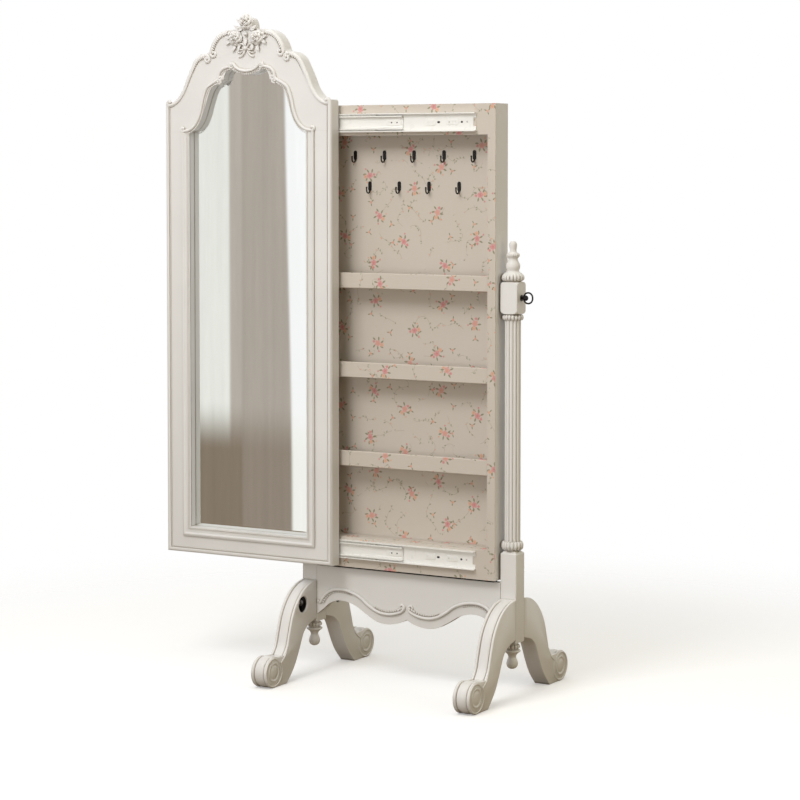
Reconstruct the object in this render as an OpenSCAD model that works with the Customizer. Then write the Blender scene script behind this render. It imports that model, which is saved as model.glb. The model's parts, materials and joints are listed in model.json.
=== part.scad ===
// Cheval mirror cabinet: a tilting jewellery cabinet behind a sliding arched mirror, hung between
// two reeded posts on scrolled legs. X runs to the viewer's right, Y to the back, Z up; the origin
// is on the floor midway between the four feet. The door stands slid open, as the object is shown.

/* [Stand] */
// Width over the outer faces of the two posts
base_w = 606; // [580:2:640]
// Depth over the tips of the scrolled legs
base_d = 508; // [480:2:540]
// Side of the square blocks at the foot and at the pivot
block = 43; // [41:1:46]
// Thickness of a leg seen from the front
leg_t = 42; // [38:1:46]
// Height of the pivot axis above the floor
pivot_z = 958; // [930:2:990]
// Height of the underside of the lower block
foot_block_z = 132; // [124:1:136]
// Height where the square lower block ends and the turned post starts
post_turn_z = 353; // [330:1:370]
// Diameter of the reeded column
column_d = 39; // [34:1:40]
// Number of reeds round the column
reeds = 12; // [10:1:14]
// Height of the square pivot block
pivot_block_h = 77; // [70:1:84]
// Radius of the rolled scroll at the end of each leg
scroll_r = 38; // [34:1:40]
// Height of the apron's upper edge
apron_top = 275; // [265:1:279]
// Thickness of the apron board
apron_t = 20; // [16:1:24]
// Depth of the apron at its lowest scallop
apron_h = 131; // [124:1:136]

/* [Cabinet] */
// Height of the cabinet
cab_h = 1139; // [1110:1:1160]
// Depth of the cabinet without its door
cab_d = 62; // [58:1:70]
// Front face of the cabinet, in front of the pivot axis
cab_front = 40; // [38:1:44]
// Gap between the cabinet's underside and the apron
cab_lift = 6; // [5:1:10]
// Running gap between the cabinet's side and the post
side_gap = 5; // [4:0.5:7]
// Thickness of the cabinet's side boards
side_t = 21; // [19:1:24]
// Thickness of the back board
back_t = 5; // [4:0.5:8]
// Height of the two front rails that carry the slides
rail_h = 74; // [68:1:80]
// Thickness of the fabric lining
lining_t = 1.2; // [0.8:0.1:2]
// Height of the lip in front of each shelf
lip_h = 38; // [32:1:44]
// Thickness of each lip
lip_t = 9; // [7:1:12]
// Thickness of a shelf board
shelf_t = 6; // [5:1:9]
// Height of the highest lip's upper edge above the cabinet's underside
shelf_top = 729; // [700:1:740]
// Height from one shelf to the next
shelf_pitch = 220; // [200:1:230]
// Sideways distance between two hooks of a row
hook_pitch = 84; // [76:1:90]
// Height of the upper row of hooks under the cabinet's top
hook_drop = 122; // [116:1:140]

/* [Slides] */
// How far the door slides
door_travel = 424; // [400:2:430]
// How far the middle member of a slide runs
mid_travel = 200; // [190:2:210]
// Length of the outer member of a slide
slide_l = 453; // [440:1:460]
// Height of the outer member
slide_h = 45; // [43:0.5:47]
// Distance between two screws that hold a slide to the door
door_hole_pitch = 96; // [88:1:110]
// Room between the cabinet and the door that a slide fills
slide_t = 12.7; // [12.5:0.1:13.5]
// Diameter of the bearing balls
ball_d = 4.8; // [4.4:0.1:4.8]
// Balls in each row of a ball cage
balls = 9; // [6:1:10]

/* [Mirror door] */
// Width of the door
door_w = 498; // [480:2:504]
// Thickness of the door frame
door_t = 32; // [29:1:36]
// Height of the door from its lower edge to the shoulders of the arch
door_h = 1146; // [1130:1:1160]
// Height of the door's lower edge above the cabinet's underside
door_lift = 6; // [2:1:10]
// Height of the carved arch above the shoulders
crest_h = 179; // [160:1:190]
// Width of the mirror that shows
sight_w = 350; // [330:2:356]
// Height of the lower rail below the mirror
door_rail = 67; // [60:1:74]
// Depth of the frame in front of the glass
sight_depth = 19; // [16:0.5:22]
// Thickness of the mirror glass
glass_t = 4; // [3:0.5:5]
// Width of the rebate that holds the glass
rebate = 10; // [7:0.5:12]
// Width of the moulding round the mirror
inner_mould = 24; // [18:1:26]
// Radius of each carved rose
rose_r = 20; // [17:0.5:21]

/* [Fits] */
// Radius of the threaded shank of a pivot knob
shank_r = 4; // [3:0.5:5]
// Radial running clearance of the shanks, and of the balls in their races
run_gap = 0.05; // [0.02:0.01:0.1]

/* [Hidden] */
$fn = 48;

pearl_white = [0.88, 0.86, 0.83];
slide_white = [0.93, 0.92, 0.89];
cloth = [0.82, 0.76, 0.71];
iron = [0.10, 0.09, 0.09];
steel = [0.62, 0.62, 0.63];
brass = [0.75, 0.62, 0.35];
beech = [0.78, 0.65, 0.47];
nylon = [0.90, 0.90, 0.88];
looking_glass = [0.72, 0.76, 0.77];

half_w = base_w / 2;
post_x = half_w - block / 2;
inner_x = half_w - block;
face_y = -block / 2;

cab_half = inner_x - side_gap;
cab_z0 = apron_top + cab_lift;
cab_z1 = cab_z0 + cab_h;
cab_y0 = -cab_front;
cab_y1 = cab_y0 + cab_d;
bay_half = cab_half - side_t;
board_y0 = cab_y0 + lining_t;
rail_t = 16;
cap_t = 20;
back_y0 = cab_y1 - back_t;
bay_back = back_y0 - lining_t;
lining_half = bay_half - lining_t;
bay_z0 = cab_z0 + rail_h;
bay_z1 = cab_z1 - rail_h;

slide_y = cab_y0;
slide_x0 = -cab_half + 5;
slide_x1 = slide_x0 + slide_l;
top_slide_z = cab_z1 - 43.5;
bottom_slide_z = cab_z0 + 45.5;

door_half = door_w / 2;
door_back = slide_y - slide_t;
door_front = door_back - door_t;
door_z0 = cab_z0 + door_lift;
shoulder_z = door_z0 + door_h;
sight_half = sight_w / 2;
sight_z0 = door_z0 + door_rail;
sight_z1 = shoulder_z - 72;
glass_y0 = door_front + sight_depth;

// Points on a smooth curve that passes through each of the chosen points p, n to a stretch
function through(p, n = 5) = [for (i = [0 : len(p) - 2], k = [0 : n - 1])
    let (a = p[max(i - 1, 0)], b = p[i], c = p[i + 1], d = p[min(i + 2, len(p) - 1)], t = k / n)
    0.5 * (2 * b + (c - a) * t + (2 * a - 5 * b + 4 * c - d) * t * t
        + (3 * b - a - 3 * c + d) * t * t * t), p[len(p) - 1]];
// Points on an arc
function arc(c, r, a0, a1, n = 10) = [for (i = [0 : n]) let (a = a0 + (a1 - a0) * i / n)
    c + r * [cos(a), sin(a)]];
// The same line moved sideways by d, to its right
function beside(p, d) = [for (i = [0 : len(p) - 1])
    let (t = p[min(i + 1, len(p) - 1)] - p[max(i - 1, 0)]) p[i] + d * [t[1], -t[0]] / norm(t)];
function flipped(p) = [for (i = [len(p) - 1 : -1 : 0]) [-p[i][0], p[i][1]]];
function back_to_front(p) = [for (i = [len(p) - 1 : -1 : 0]) p[i]];
function stretched(p, kx, kz, dz) = [for (q = p) [q[0] * kx, q[1] * kz + dz]];
// The same line without n points at each end
function within(p, n) = [for (i = [n : len(p) - 1 - n]) p[i]];
// A right half with its mirror image as one line from left to right, and that line closed by a straight edge at z
function whole(p) = concat(flipped(p), [for (i = [1 : len(p) - 1]) p[i]]);
function closed_at(line, z) = concat([[line[0][0], z]], line, [[line[len(line) - 1][0], z]]);
// A band of width w that has the line p as its middle
function band(p, w) = concat(beside(p, w / 2), back_to_front(beside(p, -w / 2)));

// An outline in X and Z, as a board from y0 back to y1
module board(outline, y0, y1) {
    translate([0, y1, 0]) rotate([90, 0, 0]) linear_extrude(y1 - y0) polygon(outline);
}
module block_between(a, b) { translate(a) cube(b - a); }
// A cylinder along X from x0 to x1, and one along Y from y0 to y1
module rod_x(x0, x1, y, z, r) { translate([x0, y, z]) rotate([0, 90, 0]) cylinder(r = r, h = x1 - x0); }
module rod_y(y0, y1, x, z, r) { translate([x, y0, z]) rotate([-90, 0, 0]) cylinder(r = r, h = y1 - y0); }
// Draws its children for the right side as they are, and mirrored for the left
module side(s) { if (s > 0) children(); else mirror([1, 0, 0]) children(); }

// ---- Stand ----

leg_reach = base_d / 2;
leg_root = block / 2;
leg_top = foot_block_z + 105;
pocket_r = 20;
pocket_depth = leg_t / 2 + 11;
pocket_y = leg_root + 62;
bolt_z = foot_block_z + 52;
bolt_r = 4;
dowel_r = 4;
dowel_rise = 30;
dowel_half = 14;
scroll_y = leg_reach - scroll_r;
// Front or outer edge of a leg from the block down to the notch above the scroll
leg_outer = through([[leg_root, leg_top], [leg_root + 34, leg_top - 6], [leg_root + 65, leg_top - 22],
    [leg_root + 91, leg_top - 47], [leg_root + 109, leg_top - 76], [scroll_y - 72, 123],
    [scroll_y - 62, 92], [scroll_y - 47, scroll_r + 33]]);
leg_scroll = concat([[scroll_y - 34, scroll_r + 34]], arc([scroll_y, scroll_r], scroll_r, 115, -90, 28));
// Inner edge from the flat sole up under the arch to the block
leg_inner = through([[scroll_y - 58, 0], [scroll_y - 90, 33], [scroll_y - 111, 67], [scroll_y - 126, 97],
    [scroll_y - 136, 114], [scroll_y - 150, 126], [leg_root + 26, foot_block_z + 2],
    [leg_root, foot_block_z + 8]]);
leg_outline = concat(leg_outer, leg_scroll, leg_inner);

module leg_plain() {
    rotate([90, 0, 90]) linear_extrude(leg_t) polygon(leg_outline);
}
// The right rear leg, with the wrench pocket in its inner face and the bolt and dowel holes
module leg() {
    difference() {
        translate([post_x - leg_t / 2, 0, 0]) leg_plain();
        rod_x(post_x - leg_t / 2 - 1, post_x - leg_t / 2 + pocket_depth, pocket_y, bolt_z, pocket_r);
        rod_y(leg_root - 1, pocket_y, post_x, bolt_z, bolt_r);
        for (z = [bolt_z - dowel_rise, bolt_z + dowel_rise])
            rod_y(leg_root - 1, leg_root + dowel_half, post_x, z, dowel_r);
    }
}
module placed_leg(s, f) { color(pearl_white) side(s) if (f > 0) leg(); else mirror([0, 1, 0]) leg(); }

collar_r = block * 0.56;
column_z0 = post_turn_z + 25;
pivot_z0 = pivot_z - pivot_block_h / 2;
pivot_z1 = pivot_z + pivot_block_h / 2;
column_z1 = pivot_z0 - 15;
bushing_wall = 2;
bushing_r = shank_r + run_gap + bushing_wall;
tenon_r = 7;
tenon_l = 14;
chamfer = 9;

// A square block with its long edges eased and its ends chamfered in towards the turning
module eased_block(z0, z1, cut0, cut1) {
    b = block / 2;
    ease = 1.5;
    foot = cut0 > 0 ? [[-b, z0 + cut0], [cut0 - b, z0], [b - cut0, z0], [b, z0 + cut0]] : [[-b, z0], [b, z0]];
    side_view = concat(foot, [[b, z1 - cut1], [b - cut1, z1], [cut1 - b, z1], [-b, z1 - cut1]]);
    intersection() {
        translate([0, 0, z0]) linear_extrude(z1 - z0) polygon([[-b, ease - b], [ease - b, -b],
            [b - ease, -b], [b, ease - b], [b, b - ease], [b - ease, b], [ease - b, b], [-b, b - ease]]);
        board(side_view, -b, b);
        rotate([0, 0, 90]) board(side_view, -b, b);
    }
}
// Half of the section of a rounded collar of radius r between two heights
function collar(z0, z1, r) = let (h = (z1 - z0) / 2)
    [for (i = [0 : 8]) let (a = -80 + 20 * i) [r - h + h * cos(a), z0 + h + h * sin(a)]];

// How far the reeds run into the collars at their ends
reed_sink = 6;
module post_turning() {
    r = column_d / 2;
    half_angle = sin(180 / reeds);
    reed_r = 1.08 * r * half_angle / (1 + half_angle);
    rotate_extrude() polygon(concat([[0, post_turn_z - 2], [block / 2 - 4, post_turn_z - 2]],
        collar(post_turn_z + 1, post_turn_z + 23, collar_r), [[r - 1, column_z0], [r - reed_r, column_z0],
        [r - reed_r, column_z1], [r - 1, column_z1]],
        collar(column_z1 + 1, pivot_z0 - 1, collar_r - 2), [[block / 2 - 5, pivot_z0 + 2], [0, pivot_z0 + 2]]));
    for (i = [0 : reeds - 1]) rotate([0, 0, 360 * (i + 0.5) / reeds])
        translate([r - reed_r, 0, column_z0 - reed_sink])
            cylinder(r = reed_r, h = column_z1 - column_z0 + 2 * reed_sink, $fn = 24);
}
module post() {
    translate([post_x, 0, 0]) difference() {
        union() {
            eased_block(foot_block_z, post_turn_z, 0, 8);
            post_turning();
            eased_block(pivot_z0, pivot_z1, chamfer, chamfer);
        }
        rod_x(-block, block, 0, pivot_z, bushing_r);
        rod_y(-block, block, 0, bolt_z, bolt_r);
        for (z = [bolt_z - dowel_rise, bolt_z + dowel_rise]) {
            rod_y(-block, dowel_half - leg_root, 0, z, dowel_r);
            rod_y(leg_root - dowel_half, block, 0, z, dowel_r);
        }
        for (z = apron_dowel_z)
            rod_x(-block, dowel_half - leg_root, apron_dowel_y, z, dowel_r);
        translate([0, 0, foot_block_z - 1]) cylinder(r = tenon_r, h = tenon_l + 1);
        translate([0, 0, pivot_z1 - tenon_l]) cylinder(r = tenon_r, h = tenon_l + 1);
    }
}
module placed_post(s) { color(pearl_white) side(s) post(); }

finial_top = pivot_z1 + 97;
// Beaded collar, vase, ring and pin, on a tenon that sits in the pivot block
module finial() {
    z = pivot_z1;
    translate([post_x, 0, 0]) rotate_extrude() polygon(concat(
        [[0, z - tenon_l], [tenon_r, z - tenon_l], [tenon_r, z], [block / 2 - 5, z]],
        collar(z + 1, z + 21, collar_r),
        through([[14.5, z + 24], [16.4, z + 31], [16.9, z + 38], [15.2, z + 45], [11.6, z + 51], [10.4, z + 56]], 3),
        collar(z + 58, z + 69, 16),
        through([[7.2, z + 72], [8, z + 77], [8.6, z + 84], [8.2, z + 90], [5.6, z + 95], [0, finial_top]], 3)));
}
module placed_finial(s) { color(pearl_white) side(s) finial(); }

// Beaded collar, neck and bulb that hang from the lower block
module drop_finial() {
    z = foot_block_z;
    translate([post_x, 0, 0]) rotate_extrude() polygon(concat([[0, z + tenon_l]],
        through([[0, z - 66], [6, z - 65], [11.6, z - 60], [13.4, z - 52], [12, z - 44], [8.6, z - 38], [8, z - 33],
            [10.5, z - 27], [14, z - 24]], 3),
        collar(z - 22, z - 4, collar_r * 0.71), [[15, z], [tenon_r, z], [tenon_r, z + tenon_l]]));
}
module placed_drop(s) { color(pearl_white) side(s) drop_finial(); }

apron_dowel_y = face_y + apron_t / 2;
apron_k = inner_x / 260;
apron_kz = apron_h / 131;
apron_dowel_z = [apron_top - 80 * apron_kz, apron_top - 20 * apron_kz];
function on_apron(p) = stretched(through(p, 4), apron_k, apron_kz, apron_top);
// Right half of the scalloped lower edge, from the cusp in the middle to the post
apron_edge = on_apron([[0, -115], [22, -125], [54, -131], [84, -127.5], [115, -112], [145, -94],
    [175, -85], [200, -85], [222, -93], [241, -109], [260, -123]]);

module apron() {
    color(pearl_white) difference() {
        board(closed_at(whole(apron_edge), apron_top), face_y, face_y + apron_t);
        for (s = [-1, 1], z = apron_dowel_z)
            rod_x(s * inner_x - dowel_half, s * inner_x + dowel_half, apron_dowel_y, z, dowel_r);
    }
}
rib_w = 6.5;
rib_t = 4;
volute_r = 8;
// Right half of the carved rib that follows the scallops between its two curls
apron_rib = on_apron([[6, -94], [18, -98], [38, -104], [63, -105.5], [86, -100.5], [111, -87], [133, -71],
    [155, -61.5], [180, -56.5], [204, -57.5], [224, -65], [240, -80], [250, -94]]);
module apron_moulding() {
    curl_x = 13 * apron_k;
    color(pearl_white) for (s = [-1, 1]) side(s) {
        board(band(apron_rib, rib_w), face_y - rib_t, face_y);
        rod_y(face_y - rib_t, face_y, curl_x, apron_top - 76 * apron_kz, volute_r);
        board(band(on_apron([[19, -82], [16, -90], [6, -96]]), rib_w), face_y - rib_t, face_y);
    }
}

nut_t = 7;
washer_t = 1.5;
bolt_end = pocket_y - pocket_r + 14;
module leg_bolts() {
    color(steel) for (s = [-1, 1]) rod_y(-bolt_end, bolt_end, s * post_x, bolt_z, bolt_r);
}
// A washer and a nut on each bolt end, inside the wrench pocket
module leg_nuts() {
    seat = sqrt(pow(pocket_r, 2) - 81);
    color(iron) for (s = [-1, 1], f = [0, 180]) translate([s * post_x, 0, bolt_z]) rotate([0, 0, f])
        translate([0, pocket_y - seat, 0]) rotate([-90, 0, 0]) difference() {
            union() {
                cylinder(r = 9, h = washer_t);
                cylinder(r = 7.5, h = washer_t + nut_t, $fn = 6);
            }
            translate([0, 0, -1]) cylinder(r = bolt_r, h = washer_t + nut_t + 2);
        }
}
module dowels() {
    color(beech) for (s = [-1, 1]) {
        for (f = [-1, 1], z = [bolt_z - dowel_rise, bolt_z + dowel_rise])
            rod_y(f * leg_root - dowel_half, f * leg_root + dowel_half, s * post_x, z, dowel_r);
        for (z = apron_dowel_z)
            rod_x(s * inner_x - dowel_half, s * inner_x + dowel_half, apron_dowel_y, z, dowel_r);
    }
}
module pivot_bushings() {
    color(brass) for (s = [-1, 1]) side(s) difference() {
        rod_x(inner_x, half_w, 0, pivot_z, bushing_r);
        rod_x(inner_x - 1, half_w + 1, 0, pivot_z, shank_r + run_gap);
    }
}

// ---- Cabinet ----

insert_l = 15;
back_half = bay_half + 9;
module cabinet_side(s) {
    color(pearl_white) side(s) difference() {
        block_between([bay_half, board_y0, cab_z0], [cab_half, cab_y1, cab_z1]);
        rod_x(cab_half - insert_l, cab_half + 1, 0, pivot_z, bushing_r);
        rod_x(bay_half - 1, cab_half, 0, pivot_z, shank_r + run_gap);
        block_between([bay_half - 1, back_y0, cab_z0 - 1], [back_half, cab_y1 + 1, cab_z1 + 1]);
        back_screw_shanks();
        side(s) slide_screw_shanks();
    }
}
module cabinet_cap(z0) {
    color(pearl_white) block_between([-bay_half, board_y0, z0], [bay_half, back_y0, z0 + cap_t]);
}
module cabinet_back() {
    color(pearl_white) difference() {
        block_between([-back_half, back_y0, cab_z0], [back_half, cab_y1, cab_z1]);
        back_screw_shanks();
    }
}
// A rail behind the face that carries one slide, between the cap board and the bays
module slide_rail(z0, z1) {
    color(pearl_white) difference() {
        block_between([-bay_half, board_y0, z0], [bay_half, board_y0 + rail_t, z1]);
        slide_screw_shanks();
    }
}
module face_lining() {
    color(cloth) difference() {
        block_between([-cab_half, cab_y0, cab_z0], [cab_half, board_y0, cab_z1]);
        block_between([-bay_half, cab_y0 - 1, bay_z0], [bay_half, board_y0 + 1, bay_z1]);
        slide_screw_shanks();
    }
}
// Cloth on the back of the bays and on their two side walls
module bay_lining() {
    color(cloth) {
        block_between([-bay_half, bay_back, bay_z0], [bay_half, back_y0, bay_z1]);
        for (s = [-1, 1]) side(s)
            block_between([lining_half, board_y0, bay_z0], [bay_half, bay_back, bay_z1]);
    }
}
lip_setback = 2;
lip_y = cab_y0 + lip_setback;
function lip_z(i) = cab_z0 + shelf_top - i * shelf_pitch - lip_h;
module shelf(i) {
    color(cloth) block_between([-lining_half, lip_y + lip_t, lip_z(i)], [lining_half, bay_back, lip_z(i) + shelf_t]);
}
module lip(i) {
    color(cloth) block_between([-lining_half, lip_y, lip_z(i)], [lining_half, lip_y + lip_t, lip_z(i) + lip_h]);
}

hook_z = cab_z1 - hook_drop;
hook_row_drop = 76;
hook_places = concat([for (i = [-2 : 2]) [i * hook_pitch, hook_z]],
    [for (i = [-1.5 : 1.5]) [i * hook_pitch, hook_z - hook_row_drop]]);
// A hook: a round-ended plate with a screw at the top and a J of wire that reaches forward
module hook() {
    wire = 1.8;
    bend = 7.5;
    plate_t = 2.2;
    for (z = [-7.5, 7.5]) rod_y(-plate_t, 0, 0, z, 4.4);
    block_between([-4.4, -plate_t, -7.5], [4.4, 0, 7.5]);
    rod_y(-plate_t - 1.2, -plate_t, 0, 6, 2.6);
    translate([0, -wire - bend, -9.5]) rotate([0, 90, 0]) rotate([0, 0, -90])
        rotate_extrude(angle = 180) translate([bend, 0]) circle(r = wire, $fn = 16);
    translate([0, -wire - 2 * bend, -9.5]) cylinder(r = wire, h = 6, $fn = 16);
    translate([0, -wire - 2 * bend, -3.5]) sphere(r = 2.3, $fn = 16);
}
module necklace_hooks() {
    color(iron) for (p = hook_places) translate([p[0], bay_back, p[1]]) hook();
}

screw_r = 1.6;
screw_head_r = 3.4;
screw_head_t = 1.6;
screw_l = 14;
back_screw_places = [for (s = [-1, 1], i = [0 : 4]) [s * (bay_half + 4.5), cab_z0 + 30 + i * (cab_h - 60) / 4]];
module back_screw_shanks() {
    for (p = back_screw_places) rod_y(cab_y1 - screw_l, cab_y1 + 1, p[0], p[1], screw_r);
}
module back_screws() {
    color(steel) for (p = back_screw_places) {
        rod_y(cab_y1, cab_y1 + screw_head_t, p[0], p[1], screw_head_r);
        rod_y(cab_y1 - screw_l, cab_y1, p[0], p[1], screw_r);
    }
}

module pivot_inserts() {
    color(brass) for (s = [-1, 1]) side(s) difference() {
        rod_x(cab_half - insert_l, cab_half, 0, pivot_z, bushing_r);
        rod_x(cab_half - insert_l - 1, cab_half + 1, 0, pivot_z, shank_r + run_gap);
    }
}
washer_gap = 0.2;
module pivot_washers() {
    color(nylon) for (s = [-1, 1]) side(s) difference() {
        rod_x(cab_half, inner_x - washer_gap, 0, pivot_z, 11);
        rod_x(cab_half - 1, inner_x, 0, pivot_z, shank_r + 0.3);
    }
}

// ---- Ball-bearing slides ----
// A section is drawn as depth from the cabinet's face against height from the slide's middle.

race_r = ball_d / 2 + run_gap;
web_t = 1.4;
flange_t = 2.4;
half_h = slide_h / 2;
race_depth = 0.7;
outer_ball_h = half_h - flange_t - race_r + race_depth;
mid_flange_t = 2.8;
mid_out_h = outer_ball_h - race_r + race_depth;
inner_ball_h = mid_out_h - mid_flange_t - race_r + race_depth;
inner_out_h = inner_ball_h - race_r + race_depth;
mid_web_y = web_t + 1;
cage_t = 0.5;
outer_ball_y = 6.4;
inner_ball_y = 7.4;
middle_tip = 11;
inner_web_y = slide_t - 1.3;

// An extrusion along X of a section whose x is the depth d in front of the cabinet and y the height
module along_x(x0, x1, z) {
    translate([x0, slide_y, z]) rotate([90, 0, 90]) mirror([1, 0, 0]) linear_extrude(x1 - x0) children();
}
module twice() { children(); mirror([0, 1]) children(); }

slide_hole_places = [24, 74, 230, 330, 420];
slide_screw_places = [24, 230, 420];
// Cuts for the screws and pressed slots in the web, at the distances d from the right-hand end
module web_cuts(x1, z) {
    for (d = slide_hole_places) rod_y(slide_y - web_t - 1, slide_y + 1, x1 - d, z, 2.3);
    for (d = [38, 88]) {
        block_between([x1 - d - 16, slide_y - web_t - 1, z - 2.3], [x1 - d, slide_y + 1, z + 2.3]);
        for (e = [0, 16]) rod_y(slide_y - web_t - 1, slide_y + 1, x1 - d - e, z, 2.4);
    }
}
module slide_outer(z) {
    notch_w = 7;
    notch_h = 20;
    color(slide_white) difference() {
        along_x(slide_x0, slide_x1, z) difference() {
            twice() {
                square([web_t, half_h]);
                translate([0, half_h - flange_t]) square([slide_t - 2, flange_t]);
            }
            twice() translate([outer_ball_y, outer_ball_h]) circle(r = race_r, $fn = 32);
        }
        web_cuts(slide_x1, z);
        block_between([slide_x1 - notch_w, slide_y - web_t - 1, z - notch_h / 2],
            [slide_x1 + 1, slide_y + 1, z + notch_h / 2]);
    }
}
mid_x1 = slide_x1 - mid_travel;
mid_l = slide_l - 6;
module slide_middle(z) {
    color(slide_white) along_x(mid_x1 - mid_l, mid_x1, z) difference() {
        twice() {
            translate([mid_web_y, 0]) square([web_t - 0.2, mid_out_h]);
            translate([mid_web_y, mid_out_h - mid_flange_t]) square([middle_tip - mid_web_y, mid_flange_t]);
        }
        twice() {
            translate([outer_ball_y, outer_ball_h]) circle(r = race_r, $fn = 32);
            translate([inner_ball_y, inner_ball_h]) circle(r = race_r, $fn = 32);
        }
    }
}
inner_x1 = slide_x1 - 6 - door_travel;
inner_l = slide_l - 12;
inner_flange_t = 2.2;
inner_lip = 4.8;
function door_holes() = [for (d = [30 : door_hole_pitch : inner_l - 30]) inner_x1 - d];
module slide_inner(z) {
    color(slide_white) difference() {
        along_x(inner_x1 - inner_l, inner_x1, z) difference() {
            twice() {
                translate([inner_web_y, 0]) square([slide_t - inner_web_y, inner_out_h]);
                translate([inner_lip, inner_out_h - inner_flange_t])
                    square([slide_t - inner_lip, inner_flange_t]);
            }
            twice() translate([inner_ball_y, inner_ball_h]) circle(r = race_r, $fn = 32);
        }
        for (x = door_holes()) rod_y(door_back - 1, door_back + 3, x, z, screw_r);
    }
}
ball_pitch = ball_d + 7;
cage_l = ball_pitch * balls;
// One C-shaped retainer strip with its two rows of balls
module cage(x, z, back, ball_y, ball_h, tab) {
    tab_t = 1.1;
    color(nylon) difference() {
        along_x(x - cage_l / 2, x + cage_l / 2, z) twice() {
            translate([back, 0]) square([cage_t, ball_h + tab_t / 2]);
            translate([back, ball_h - tab_t / 2]) square([tab - back, tab_t]);
        }
        for (s = [-1, 1], i = [0 : balls - 1]) translate([x + (i - (balls - 1) / 2) * ball_pitch,
            slide_y - ball_y, z + s * ball_h - 1]) cylinder(r = race_r, h = 2, $fn = 24);
    }
    color(steel) for (s = [-1, 1], i = [0 : balls - 1]) translate([x + (i - (balls - 1) / 2) * ball_pitch,
        slide_y - ball_y, z + s * ball_h]) sphere(r = ball_d / 2, $fn = 24);
}
outer_cage_x = (slide_x0 + mid_x1) / 2;
inner_cage_x = (mid_x1 - mid_l + inner_x1) / 2;
module outer_cage(z) { cage(outer_cage_x, z, web_t + 0.25, outer_ball_y, outer_ball_h, outer_ball_y + 3.4); }
module inner_cage(z) { cage(inner_cage_x, z, mid_web_y + 1.45, inner_ball_y, inner_ball_h, inner_ball_y + 3.2); }

// Flush heads that sit in the web, and shanks into the rail behind
module slide_screw_shanks() {
    for (z = [top_slide_z, bottom_slide_z], d = slide_screw_places)
        rod_y(slide_y - 1, slide_y + 12, slide_x1 - d, z, screw_r);
}
module slide_screws() {
    color(steel) for (z = [top_slide_z, bottom_slide_z], d = slide_screw_places) {
        rod_y(slide_y - web_t, slide_y, slide_x1 - d, z, 2.3);
        rod_y(slide_y, slide_y + 12, slide_x1 - d, z, screw_r);
    }
}

// ---- Mirror door ----

crest_k = door_half / 249;
crest_kz = crest_h / 179;
// Right half of the arch: the bump behind the top rose, the two lobes and the shoulder
arch_edge = [for (q = concat(through([[0, 208], [8, 206], [14, 199], [17, 189]], 3), [[18, 179.5], [30, 179.5]],
    through([[50, 178], [68, 175.5], [86, 168], [100, 154], [109, 139], [114, 125]], 4),
    through([[119, 121], [130, 121], [144, 117], [160, 104], [172, 83], [184, 59], [196, 32], [212, 11],
    [230, -1], [241, -1]], 4), [[246, 1], [249, -4]])) [q[0] * crest_k, shoulder_z + q[1] * crest_kz]];
sight_k = sight_half / 175;
arch_z = sight_z1 - 3;
function over_mirror(p) = [for (q = p) [q[0] * sight_k, sight_z1 + q[1] * crest_kz]];
// Right half of the top of the mirror, from the dip in the middle down to the straight side
sight_edge = over_mirror(concat(through([[0, 137], [18, 139.5], [34, 146], [48, 152], [58, 149], [66, 139],
    [69, 126]], 4), through([[84, 117], [100, 111], [113, 95], [124, 66], [136, 33], [145, 17], [157, 4],
    [175, -3]], 4)));
// Right half of the outer edge of the moulding round the mirror
mould_edge = over_mirror(concat(through([[0, 151], [16, 153.5], [29, 160], [38, 169], [47, 169], [52, 162]], 4),
    through([[60, 161], [72, 157], [84, 146], [89, 130]], 4),
    through([[97, 125], [111, 118], [125, 107], [136, 80], [144, 48], [156, 22], [174, 6], [199, 2]], 4)));
// Right half of the plain arch to which the glass is cut, behind the carved edge
glass_edge = over_mirror(through([[0, 163], [60, 163], [88, 149], [112, 124], [131, 90], [147, 50], [163, 22],
    [185, 10]], 4));

arch_line = whole(arch_edge);
sight_line = whole(sight_edge);

// Everything on the door is drawn with the door shut and then slid open to where it rests
module on_door() { translate([-door_travel, 0, 0]) children(); }

module mirror_rebate() {
    w = sight_half + rebate;
    board(closed_at(whole(glass_edge), sight_z0 - rebate), glass_y0, door_back + 1);
    block_between([-w, glass_y0, sight_z0 - rebate], [w, door_back + 1, arch_z + 1]);
}
module door_stile(s) {
    color(pearl_white) on_door() side(s) difference() {
        block_between([sight_half, door_front, door_z0], [door_half, door_back, arch_z]);
        block_between([sight_half - 1, glass_y0, sight_z0 - rebate], [sight_half + rebate, door_back + 1, arch_z + 1]);
        side(s) door_screw_shanks();
    }
}
module door_bottom_rail() {
    color(pearl_white) on_door() difference() {
        block_between([-sight_half, door_front, door_z0], [sight_half, door_back, sight_z0]);
        block_between([-sight_half - 1, glass_y0, sight_z0 - rebate], [sight_half + 1, door_back + 1, sight_z0 + 1]);
        door_screw_shanks();
    }
}
module door_crest() {
    color(pearl_white) on_door() difference() {
        board(closed_at(arch_line, arch_z), door_front, door_back);
        board(closed_at(sight_line, arch_z - 1), door_front - 1, glass_y0 + 1);
        board(closed_at(whole(glass_edge), arch_z - 1), glass_y0, door_back + 1);
        door_screw_shanks();
    }
}
glass_play = 0.5;
glass_outline = closed_at(beside(whole(glass_edge), glass_play), sight_z0 - rebate + glass_play);
module mirror_glass() {
    color(looking_glass) on_door() board(glass_outline, glass_y0, glass_y0 + glass_t);
}
module mirror_backing() {
    color(beech) on_door() difference() {
        board(glass_outline, glass_y0 + glass_t, door_back);
        door_screw_shanks();
    }
}
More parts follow.
